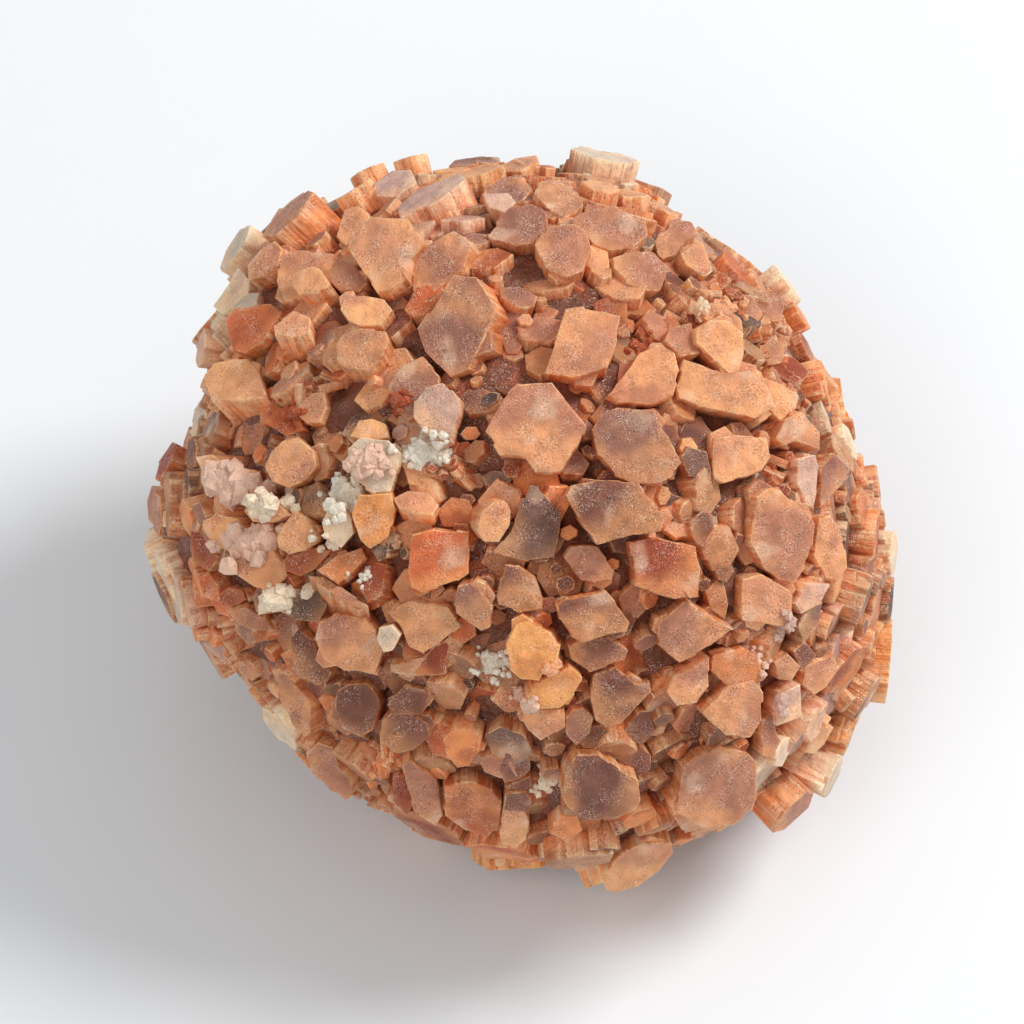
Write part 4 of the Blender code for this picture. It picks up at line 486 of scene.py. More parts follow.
def far_crystals(taken, chance):
    """Fills the side that the front view doesn't show, widest crystals first."""
    found = []
    for width in FAR_WIDTHS:
        for _ in range(FAR_TRIES):
            direction = random_direction(chance)
            stands = chance.uniform(*FAR_STANDS)
            tone = chance.choice(FAR_TONES)
            stretch = chance.uniform(*FAR_STRETCH)
            wobble = scatter(FAR_WOBBLE, chance)
            if direction.dot(NEAR) > FAR_LIMIT:
                continue
            end = direction * (reach(direction) + stands)
            if end.z < FLOOR + FLOOR_CLEARANCE:
                end *= (FLOOR + FLOOR_CLEARANCE) / end.z
            crystal = ring_crystal(tone, end, direction + wobble, width, width * stretch, chance)
            if min(p.z for p in crystal.corners) < FLOOR + FLOOR_CLEARANCE / 2:
                continue
            if room(crystal, taken + found, FAR_CROWDING):
                found.append(crystal)
    return found


def all_crystals():
    chance = random.Random(SEED)
    crystals = [facing_crystal(*row) for row in FACING]
    for tone, end, axis, across, through in RIM:
        crystals.append(ring_crystal(tone, placed(*end), placed(*axis), across, through, chance))
    crystals += foot_crystals(chance)
    return crystals + far_crystals(crystals, chance)


# The fine surface, in millimetres.
PLATE_WIDTH = 1.8  # the flat strips that run down a crystal's sides, on the front
BACK_PLATES = 2.0  # how much wider they are on the far side
PLATE_DEPTH = 0.32  # how far one strip may lie behind the next
FINE_LEAST = 4.4  # crystals wider than this get the strips
RIM_SOFT = 0.11  # the worn edge round a crystal's end
CHIPS = (0, 3)  # how many chips a rim may have
CHIP_DEEP = (0.15, 0.8)  # and how deep
SIDE_ROWS = (4.5,)  # depths under the end at which a side may waver
WAVER = 0.05  # by up to this share of its width
CAP_UNEVEN = 0.3  # how high an end's waves are
CORNER_WORN = 0.2  # how much of a corner is worn off
GROWTH_LEAST = 4.6  # crystals wider than this carry parallel side growths
GROWTH_WIDTHS = (0.25, 0.5)  # as a share of the crystal's width
GROWTH_OUT = (0.68, 0.84)  # where a growth stands between the crystal's middle and its edge
GROWTH_BELOW = (0.25, 0.9)  # the higher, the further below the crystal's end it stops
GRAIN_LENGTH = 3.4  # of the crystals in a crust
NEEDLES = 18  # in each spray
NEEDLE_WIDTHS = (0.55, 0.45)
UNDERSIDE = 52  # crystals between the feet
UNDERSIDE_TONES = ("peach", "mauve", "orange", "rose", "smoke", "brick")
UNDERSIDE_LENGTH = 14.0
CORE_FINE = 5  # how often the core's faces are split
CORE_FILL = 0.945  # the rough ground between the crystals, as a share of the outer surface
CORE_ROUGH = 1.8
CORE_WAVES = (14.0, 5.0)

# Crystals in the gaps: how often to try, widths, depth of their ends under the outer surface, and spacing.
MIDDLING = {"tries": 2400, "widths": (3.2, 7.0), "deep": (0.25, 2.4), "crowding": 0.56}
TINY = {"tries": 1500, "widths": (1.5, 3.0), "deep": (0.3, 2.4), "crowding": 0.58}
FILL_WIDTHS = (0.8, 1.1)  # how far a width may differ from the one due
FILL_WOBBLE = 0.25
FILL_STRETCH = (0.6, 1.0)

# Linear colour of each kind of crystal end, and how much of it its sides keep.
FINE_TONES = {
    "rose": ((0.71, 0.300, 0.163), 0.20),
    "mauve": ((0.51, 0.218, 0.135), 0.15),
    "smoke": ((0.335, 0.118, 0.068), 0.12),
    "grey": ((0.30, 0.142, 0.094), 0.30),
    "dark": ((0.11, 0.058, 0.045), 0.60),
    "peach": ((0.97, 0.44, 0.217), 0.30),
    "pale": ((0.92, 0.57, 0.41), 0.40),
    "cream": ((1.0, 0.80, 0.57), 0.50),
    "orange": ((0.84, 0.200, 0.055), 0.35),
    "amber": ((1.0, 0.40, 0.120), 0.35),
    "brick": ((0.47, 0.085, 0.024), 0.50),
    "lilac": ((0.74, 0.45, 0.35), 0.35),
    "chalk": ((1.0, 0.89, 0.72), 0.97),
}
SMALL_TONES = ("mauve", "brick", "smoke", "smoke", "grey", "grey", "orange", "rose", "dark", "peach")
SMALL_OWN = 0.65  # how many small crystals have a tone of their own and not their neighbour's

# Crusts of small crystals: middle (right, up), half size, tone, crystal size and count.
CRUSTS = (
    ((-8.0, 5.4), (2.2, 1.6), "brick", 1.2, 22),
    ((28.0, 20.6), (3.4, 4.2), "brick", 1.7, 42),
    ((30.6, 13.0), (2.0, 4.0), "brick", 1.6, 26),
    ((24.0, 25.6), (3.0, 2.4), "brick", 1.5, 22),
    ((30.0, 4.0), (1.2, 4.6), "brick", 1.4, 22),
    ((-24.0, 15.0), (2.6, 2.2), "brick", 1.5, 16),
    ((-15.4, -28.4), (2.2, 2.4), "orange", 1.5, 18),
)  # fmt: skip

# Rough stones on the crystals: middle (right, up), half size, tone, stone size and count.
STONES = (
    ((-10.6, 7.4), (3.4, 2.6), "chalk", 1.2, 150),
    ((-19.8, 2.2), (2.4, 3.4), "chalk", 1.2, 120),
    ((-15.8, 5.6), (2.8, 2.2), "pale", 1.5, 70),
    ((-3.4, -16.8), (3.0, 2.2), "chalk", 0.9, 90),
    ((0.6, -19.6), (2.2, 1.8), "pale", 1.1, 40),
    ((-17.4, -6.4), (1.4, 1.2), "chalk", 0.6, 34),
    ((-29.0, -3.0), (4.2, 2.8), "pale", 2.2, 60),
    ((-26.0, -8.6), (3.6, 1.6), "cream", 1.6, 50),
    ((-31.6, 3.4), (3.6, 3.0), "pale", 2.3, 40),
    ((-27.0, 1.4), (2.4, 2.2), "cream", 1.7, 34),
    ((-21.6, -2.6), (1.8, 1.4), "cream", 1.0, 20),
    ((29.0, -11.6), (1.4, 3.4), "lilac", 0.9, 44),
    ((26.6, -15.6), (1.2, 3.0), "pale", 0.9, 36),
    ((28.0, -19.6), (1.6, 3.0), "lilac", 1.0, 40),
    ((22.6, 23.2), (3.4, 2.2), "peach", 1.0, 50),
    ((3.4, -15.6), (2.0, 1.4), "peach", 0.9, 26),
    ((-25.4, 11.6), (2.6, 1.8), "brick", 1.0, 40),
    ((-13.0, 12.6), (2.4, 1.6), "brick", 0.9, 34),
    ((14.0, 19.6), (3.0, 2.2), "brick", 0.9, 34),
    ((3.0, -31.0), (3.0, 1.6), "cream", 0.9, 30),
)  # fmt: skip

# Sprays of needles: middle (right, up), tone and needle length.
SPRAYS = (
    ((20.4, -4.9), "cream", 2.0),
    ((18.9, 22.6), "cream", 1.8),
    ((-26.4, -8.8), "cream", 1.6),
)  # fmt: skip


def surface_point(right, up, deep):
    """The point of the front's outer surface at (right, up), sunk by deep."""
    out = min(0.98, math.hypot(right, up) / outline_radius(math.atan2(up, right)))
    point = placed(right, up, FRONT_DEPTH * math.sqrt(1 - out * out))
    return point * (1 - deep / point.length)


def stances(crystals):
    """The crystals' ends, directions, widths and lengths, as arrays."""
    columns = [(*c.end, *c.axis, c.width, c.length()) for c in crystals]
    table = np.array(columns)
    return table[:, :3], table[:, 3:6], table[:, 6], table[:, 7]


def filling(taken, rule, chance):
    """Smaller crystals in the gaps between the others, at the back as at the front."""
    ends, axes, widths, lengths = stances(taken)
    found = []
    for attempt in range(rule["tries"]):
        direction = random_direction(chance)
        low, high = rule["widths"]
        share = attempt / rule["tries"]
        width = (high - (high - low) * share) * chance.uniform(*FILL_WIDTHS)
        deep = chance.uniform(*rule["deep"])
        own_tone = chance.choice(SMALL_TONES) if chance.random() < SMALL_OWN else None
        wobble = scatter(FILL_WOBBLE, chance)
        stretch = chance.uniform(*FILL_STRETCH)
        end = direction * (reach(direction) - deep)
        if end.z < FLOOR + FLOOR_CLEARANCE + width / 2:
            continue
        away = ends - np.array(end)
        down = (away * axes).sum(1)
        aside = np.linalg.norm(away - axes * down[:, None], axis=1)
        if ((down > 0.3) & (down < lengths) & (aside < 0.4 * widths)).any():
            continue
        tone = own_tone or taken[int(np.linalg.norm(away, axis=1).argmin())].tone
        crystal = ring_crystal(tone, end, direction + wobble, width, width * stretch, chance)
        if room(crystal, found, rule["crowding"]):
            found.append(crystal)
    return found


def crust_grains(chance):
    """Small crystals that lie close together, as the table of crusts says."""
    grains = []
    for middle, half, tone, size, count in CRUSTS:
        for _ in range(count):
            right = middle[0] + half[0] * chance.uniform(-1, 1) * chance.uniform(0.4, 1)
            up = middle[1] + half[1] * chance.uniform(-1, 1) * chance.uniform(0.4, 1)
            end = surface_point(right, up, chance.uniform(-0.2, 1.6))
            axis = end.normalized() + scatter(0.7, chance)
            width = size * chance.uniform(0.5, 1.3)
            grain = ring_crystal(tone, end, axis, width, width * 0.8, chance)
            grain.short = GRAIN_LENGTH
            grains.append(grain)
    return grains


def spray_needles(chance):
    """Thin crystals that spread from one place."""
    needles = []
    for middle, tone, length in SPRAYS:
        base = surface_point(*middle, -0.5)
        for _ in range(NEEDLES):
            axis = base.normalized() * 0.5 + RIGHT * 0.5 + scatter(0.6, chance)
            axis.normalize()
            end = base + axis * length * chance.uniform(0.6, 1.1)
            needle = ring_crystal(tone, end, axis, *NEEDLE_WIDTHS, chance)
            needle.short = length
            needles.append(needle)
    return needles


def underside(chance):
    """Crystals between the feet, which end a little above the table."""
    crystals = []
    for number in range(UNDERSIDE):
        angle = 2 * math.pi * number / UNDERSIDE + chance.uniform(-0.1, 0.1)
        out = chance.uniform(11.0, 24.0)
        width = chance.uniform(4.2, 8.4)
        gap = 0.3 + 0.12 * width + chance.uniform(0, 1.1)
        gap += 0.14 * max(0, out - 14)
        end = Vector((out * math.cos(angle), out * math.sin(angle), FLOOR + gap))
        axis = Vector((FOOT_LEAN * end.x / -FLOOR, FOOT_LEAN * end.y / -FLOOR, -1.0))
        crystal = ring_crystal(chance.choice(UNDERSIDE_TONES), end, axis, width, width * 0.85, chance)
        crystal.short = UNDERSIDE_LENGTH
        crystals.append(crystal)
    return crystals


def side_growths(crystal, chance):
    """Narrower crystals along a crystal's sides, which end below its own end."""
    growths = []
    if crystal.width < GROWTH_LEAST:
        return growths
    for _ in range(chance.randint(1, 3)):
        start = chance.randrange(len(crystal.corners))
        following = crystal.corners[(start + 1) % len(crystal.corners)]
        edge = crystal.corners[start].lerp(following, chance.random())
        width = crystal.width * chance.uniform(*GROWTH_WIDTHS)
        middle = crystal.end.lerp(edge, chance.uniform(*GROWTH_OUT))
        end = middle - crystal.axis * chance.uniform(*GROWTH_BELOW) ** 2 * crystal.width * 0.6
        growths.append(ring_crystal(crystal.tone, end, crystal.axis, width, width, chance))
    return growths


def flat_frame(crystal):
    """The two directions that span the plane of a crystal's end."""
    side = crystal.axis.orthogonal().normalized()
    return side, crystal.axis.cross(side)


def ribbed_outline(crystal, chance):
    """The corners of the end, in its own plane, with the strips that run down the sides."""
    side, other = flat_frame(crystal)
    flat = [Vector(((p - crystal.end).dot(side), (p - crystal.end).dot(other))) for p in crystal.corners]
    depth = min(PLATE_DEPTH, 0.05 * crystal.width)
    wide = PLATE_WIDTH * (1.0 if crystal.axis.dot(NEAR) > 0.1 else BACK_PLATES)
    points = []
    for i, a in enumerate(flat):
        b = flat[(i + 1) % len(flat)]
        along = b - a
        inward = Vector((-along.y, along.x)).normalized()
        plates = max(1, round(along.length / wide))
        cuts = [0.0] + [(k + chance.uniform(-0.25, 0.25)) / plates for k in range(1, plates)] + [1.0]
        gap = min(0.1, 0.09 / along.length)
        corner = min(0.22, CORNER_WORN * chance.uniform(0.5, 1.5) / along.length)
        for k in range(plates):
            inset = chance.uniform(0, depth)
            first = gap if k else corner
            last = gap if k < plates - 1 else corner
            points.append(a + along * (cuts[k] + first) + inward * inset)
            points.append(a + along * (cuts[k + 1] - last) + inward * inset)
    return points


def plain_outline(crystal):
    side, other = flat_frame(crystal)
    return [Vector(((p - crystal.end).dot(side), (p - crystal.end).dot(other))) for p in crystal.corners]


def rim_chips(count, crystal, chance):
    """How far each corner of the rim is worn down."""
    worn = [0.0] * count
    for _ in range(chance.randint(*CHIPS)):
        place = chance.randrange(count)
        deep = chance.uniform(*CHIP_DEEP) * min(1.0, crystal.width / 7)
        for step in range(-1, chance.randint(1, 3)):
            worn[(place + step) % count] = deep * chance.uniform(0.5, 1)
    return worn


def detailed_prism(crystal, core_at, number, fine, chance):
    """A closed mesh of one crystal, its faces marked with its number."""
    side, other = flat_frame(crystal)
    outline = ribbed_outline(crystal, chance) if fine else plain_outline(crystal)
    count = len(outline)
    length = getattr(crystal, "short", None) or crystal.length()
    soft = min(RIM_SOFT, 0.06 * crystal.width)
    worn = rim_chips(count, crystal, chance) if fine else [0.0] * count
    verts, rows = [], []

    def row(points, heights):
        first = len(verts)
        for (x, y), height in zip(points, heights):
            verts.append((core_at + crystal.end + side * x + other * y + crystal.axis * height) * MM)
        rows.append(list(range(first, len(verts))))

    row([p * TAPER for p in outline], [-length] * count)
    for deep in SIDE_ROWS if fine else ():
        if deep < length - 1:
            size = 1 - (1 - TAPER) * deep / length
            row([p * size * (1 - chance.uniform(0, WAVER)) for p in outline], [-deep] * count)
    row(outline, [-soft * chance.uniform(0.7, 1.4) - 1.6 * w for w in worn])
    inner = [1 - 2 * soft * chance.uniform(0.6, 1.5) / crystal.width - 0.5 * w / crystal.width for w in worn]
    row([p * size for p, size in zip(outline, inner)], [-0.45 * w for w in worn])
    if crystal.width > 3.0:
        uneven = CAP_UNEVEN * min(1.0, crystal.width / 6)
        for size in (0.62,) if fine else ():
            inside = [p * size for p in outline]
            row(inside, [uneven * noise.noise((p.x * 0.3, p.y * 0.3, number * 3.7)) for p in inside])
    faces = [tuple(reversed(rows[0]))]
    for lower, upper in zip(rows, rows[1:]):
        for i in range(count):
            j = (i + 1) % count
            faces.append((lower[i], lower[j], upper[j], upper[i]))
    top = len(verts)
    verts.append(sum((verts[i] for i in rows[-1]), Vector()) / count)
    for i in range(count):
        faces.append((rows[-1][i], rows[-1][(i + 1) % count], top))
    mesh = bpy.data.meshes.new("prism")
    mesh.from_pydata(verts, [], faces)
    mark = mesh.attributes.new("crystal", "INT", "FACE")
    mark.data.foreach_set("value", np.full(len(faces), number, np.int32))
    return mesh


def fine_core(core_at):
    """The rough ground between the crystals."""
    body = bmesh.new()
    bmesh.ops.create_icosphere(body, subdivisions=CORE_FINE, radius=1.0)
    for vertex in body.verts:
        direction = vertex.co.normalized()
        rough = noise.noise(direction * CORE_WAVES[0]) + 0.5 * noise.noise(direction * CORE_WAVES[1])
        radius = CORE_FILL * reach(direction) + CORE_ROUGH * (rough - 0.3)
        vertex.co = (core_at + direction * radius) * MM
    mesh = bpy.data.meshes.new("core")
    body.to_mesh(mesh)
    body.free()
    mark = mesh.attributes.new("crystal", "INT", "FACE")
    mark.data.foreach_set("value", np.full(len(mesh.polygons), -1, np.int32))
    return mesh


def joined_skin(crystals, core_at, chance):
    """One closed skin round the core and all the crystals, worn flat at the table."""
    growth = bpy.data.collections.new("growth")
    bpy.context.scene.collection.children.link(growth)
    for number, crystal in enumerate(crystals):
        mesh = detailed_prism(crystal, core_at, number, crystal.width > FINE_LEAST, chance)
        growth.objects.link(bpy.data.objects.new(f"crystal_{number:04d}", mesh))
    slab = bpy.data.objects.new("table_slab", bpy.data.meshes.new("table_slab"))
    body = bmesh.new()
    bmesh.ops.create_cube(body, size=1.0)
    for vertex in body.verts:
        vertex.co = Vector((vertex.co.x * 0.2, vertex.co.y * 0.2, (vertex.co.z - 0.5) * 0.02))
    body.to_mesh(slab.data)
    body.free()
    bpy.context.scene.collection.objects.link(slab)

    cluster = bpy.data.objects.new("cluster_work", fine_core(core_at))
    bpy.context.scene.collection.objects.link(cluster)
    for name, operation, source in (("join", "UNION", growth), ("wear", "DIFFERENCE", slab)):
        step = cluster.modifiers.new(name, "BOOLEAN")
        step.operation = operation
        step.solver = "MANIFOLD"
        if operation == "UNION":
            step.operand_type = "COLLECTION"
            step.collection = source
        else:
            step.object = source
    bpy.context.view_layer.update()
    graph = bpy.context.evaluated_depsgraph_get()
    skin = bpy.data.meshes.new_from_object(cluster.evaluated_get(graph))
    for obj in list(growth.objects) + [cluster, slab]:
        mesh = obj.data
        bpy.data.objects.remove(obj)
        bpy.data.meshes.remove(mesh)
    bpy.data.collections.remove(growth)
    return keep_largest_shell(skin)


def keep_largest_shell(mesh):
    """Drops loose scraps and closes the few small holes that the joining leaves."""
    body = bmesh.new()
    body.from_mesh(mesh)
    bmesh.ops.dissolve_degenerate(body, dist=1e-6, edges=body.edges)
    unseen = set(body.verts)
    shells = []
    while unseen:
        shell = set()
        front = [unseen.pop()]
        while front:
            vertex = front.pop()
            shell.add(vertex)
            for edge in vertex.link_edges:
                other = edge.other_vert(vertex)
                if other in unseen:
                    unseen.discard(other)
                    front.append(other)
        shells.append(shell)
    shells.sort(key=len)
    for shell in shells[:-1]:
        bmesh.ops.delete(body, geom=list(shell), context="VERTS")
    bare = [edge for edge in body.edges if not edge.link_faces]
    bmesh.ops.delete(body, geom=bare, context="EDGES")
    owner = body.faces.layers.int["crystal"]
    opened = [edge for edge in body.edges if edge.is_boundary]
    for face in bmesh.ops.holes_fill(body, edges=opened, sides=0)["faces"]:
        beside = [other for edge in face.edges for other in edge.link_faces if other is not face]
        face[owner] = beside[0][owner]
    body.to_mesh(mesh)
    body.free()
    return mesh


def outer_radius(points):
    """reach() for many points at once: the outer surface's distance in each point's direction."""
    away = points / np.linalg.norm(points, axis=1, keepdims=True)
    right, up, near = (away @ np.array(v) for v in (RIGHT, UP, NEAR))
    angle = np.arctan2(up, right) % (2 * math.pi)
    marks = np.arange(len(OUTLINE) + 1) * 2 * math.pi / len(OUTLINE)
    across = np.interp(angle, marks, OUTLINE + OUTLINE[:1])
    deep = np.where(near > 0, FRONT_DEPTH, BACK_DEPTH)
    return 1 / np.sqrt((right**2 + up**2) / across**2 + (near / deep) ** 2)


def edge_distance(points, outline):
    """Distance of flat points from the nearest side of an outline."""
    a = np.array(outline)
    b = np.roll(a, -1, axis=0)
    along = b - a
    share = ((points[:, None] - a) * along).sum(2) / (along**2).sum(1)
    nearest = a + along * np.clip(share, 0, 1)[..., None]
    return np.linalg.norm(points[:, None] - nearest, axis=2).min(1)


def mark_skin(mesh, crystals, core_at, chance):
    """Stores what the material reads: each crystal's own coordinates, tone, end and depth."""
    faces = len(mesh.polygons)
    loops = len(mesh.loops)
    owner = np.empty(faces, np.int32)
    mesh.attributes["crystal"].data.foreach_get("value", owner)
    totals = np.empty(faces, np.int32)
    mesh.polygons.foreach_get("loop_total", totals)
    loop_owner = np.repeat(owner, totals)
    normals = np.empty(faces * 3, np.float32)
    mesh.polygons.foreach_get("normal", normals)
    normals = normals.reshape(-1, 3)
    where = np.empty(loops, np.int32)
    mesh.loops.foreach_get("vertex_index", where)
    points = np.empty(len(mesh.vertices) * 3, np.float32)
    mesh.vertices.foreach_get("co", points)
    points = points.reshape(-1, 3)[where] / MM - np.array(core_at)

    place = points.copy()
    edge = np.full(loops, INSIDE)
    cap = np.zeros(faces)
    seed = np.full(faces, 0.5)
    tone = np.tile(np.array([*CORE_COLOUR, 1.0]), (faces, 1))
    keep = np.ones(faces)
    rise = np.zeros(loops)
    order = np.argsort(loop_owner, kind="stable")
    starts = np.searchsorted(loop_owner[order], np.arange(len(crystals)))
    ends = np.searchsorted(loop_owner[order], np.arange(len(crystals)), side="right")
    draws = [chance.random() for _ in crystals]
    for number, crystal in enumerate(crystals):
        mine = order[starts[number]:ends[number]]
        if not len(mine):
            continue
        side, other = flat_frame(crystal)
        away = points[mine] - np.array(crystal.end)
        local = np.stack([away @ np.array(v) for v in (side, other, crystal.axis)], axis=1)
        place[mine] = local
        rise[mine] = away @ np.array(UP) * 2 / crystal.width
        edge[mine] = edge_distance(local[:, :2], plain_outline(crystal))
        faces_mine = owner == number
        cap[faces_mine] = normals[faces_mine] @ np.array(crystal.axis) > 0.8
        seed[faces_mine] = draws[number]
        colour, share = FINE_TONES[crystal.tone]
        tone[faces_mine, :3] = colour
        keep[faces_mine] = share
    depth = outer_radius(points) - np.linalg.norm(points, axis=1)

    store(mesh, {
        "place": place,
        "edge": edge,
        "depth": depth,
        "rise": rise,
        "cap": cap,
        "seed": seed,
        "keep": keep,
        "tone": tone,
    })


# What the material reads, and where it is stored.
STORED = {
    "place": ("FLOAT_VECTOR", "CORNER", "vector"),
    "edge": ("FLOAT", "CORNER", "value"),
    "depth": ("FLOAT", "CORNER", "value"),
    "rise": ("FLOAT", "CORNER", "value"),
    "cap": ("FLOAT", "FACE", "value"),
    "seed": ("FLOAT", "FACE", "value"),
    "keep": ("FLOAT", "FACE", "value"),
    "tone": ("FLOAT_COLOR", "FACE", "color"),
}
INSIDE = 9.0  # the distance from an edge of what has none


def store(mesh, found):
    for name, (kind, domain, key) in STORED.items():
        stored = mesh.attributes.new(name, kind, domain)
        stored.data.foreach_set(key, np.ascontiguousarray(found[name], np.float32).reshape(-1))


# Linear colours that the material mixes with a crystal's tone.
# Painted glow: the orange that stands for light shining through a crystal's edges.
PAINTED_GLOW = (1.0, 0.46, 0.17)
HEART_TINT = (0.83, 0.80, 0.82)
STAIN_TINT = (0.62, 0.52, 0.54)
CLOUD = (0.98, 0.66, 0.46)
# Painted highlight colour for the edge of a crystal's end.
RIM_HIGHLIGHT = (0.98, 0.78, 0.62)
SIDE_WARM = (1.0, 0.33, 0.085)
SIDE_ROOT = (0.76, 0.13, 0.028)
BANDS = ((0.97, 0.46, 0.16), (1.0, 0.80, 0.56), (0.60, 0.17, 0.045))
STREAKS = ((1.0, 0.74, 0.46), (0.48, 0.14, 0.042))
# Dark red-browns for the gaps between the crystals: partly their own colour, partly painted shade.
SHADED_GROUND = ((0.17, 0.040, 0.018), (0.56, 0.125, 0.042))
GRIT_PALE = (1.0, 0.82, 0.64)
GRIT_TINT = (0.55, 0.40, 0.32)
# Near-white for the specks: dust on the surface, and painted glints of light.
DUST_AND_GLINT = (1.0, 0.93, 0.85)
FLOOR_SHADES = ((0.77, 0.79, 0.805), (0.79, 0.81, 0.825))


class Shader:
    """A material's node graph, built by short calls."""

    def __init__(self, name):
        self.material = bpy.data.materials.new(name)
        self.material.use_nodes = True
        self.nodes = self.material.node_tree.nodes
        self.links = self.material.node_tree.links
        self.principled = self.nodes["Principled BSDF"]

    def put(self, value, socket):
        if isinstance(value, bpy.types.NodeSocket):
            self.links.new(value, socket)
        elif isinstance(value, tuple) and socket.type == "RGBA":
            socket.default_value = (*value[:3], 1.0)
        else:
            socket.default_value = value

    def set(self, **values):
        for name, value in values.items():
            self.put(value, self.principled.inputs[name.replace("_", " ")])

    def attribute(self, name, output="Fac"):
        node = self.nodes.new("ShaderNodeAttribute")
        node.attribute_name = name
        return node.outputs[output]

    def math(self, operation, a, b=0.0, clamp=False):
        node = self.nodes.new("ShaderNodeMath")
        node.operation = operation
        node.use_clamp = clamp
        self.put(a, node.inputs[0])
        self.put(b, node.inputs[1])
        return node.outputs[0]

    def vector(self, operation, a, b):
        node = self.nodes.new("ShaderNodeVectorMath")
        node.operation = operation
        self.put(a, node.inputs[0])
        self.put(b, node.inputs[1])
        return node.outputs[0]

    def range(self, value, low, high, to_low=0.0, to_high=1.0):
        node = self.nodes.new("ShaderNodeMapRange")
        node.interpolation_type = "SMOOTHSTEP"
        for socket, number in zip(node.inputs, (value, low, high, to_low, to_high)):
            self.put(number, socket)
        return node.outputs[0]

    def mix(self, share, a, b, blend="MIX"):
        node = self.nodes.new("ShaderNodeMix")
        node.data_type = "RGBA"
        node.blend_type = blend
        self.put(share, node.inputs[0])
        self.put(a, node.inputs[6])
        self.put(b, node.inputs[7])
        return node.outputs[2]

    def noise(self, where, scale, detail=3.0, rough=0.55):
        node = self.nodes.new("ShaderNodeTexNoise")
        self.put(where, node.inputs["Vector"])
        node.inputs["Scale"].default_value = scale
        node.inputs["Detail"].default_value = detail
        node.inputs["Roughness"].default_value = rough
        return node.outputs[0]

    def bump(self, height, strength, distance):
        node = self.nodes.new("ShaderNodeBump")
        self.put(height, node.inputs["Height"])
        node.inputs["Strength"].default_value = strength
        node.inputs["Distance"].default_value = distance
        return node.outputs[0]


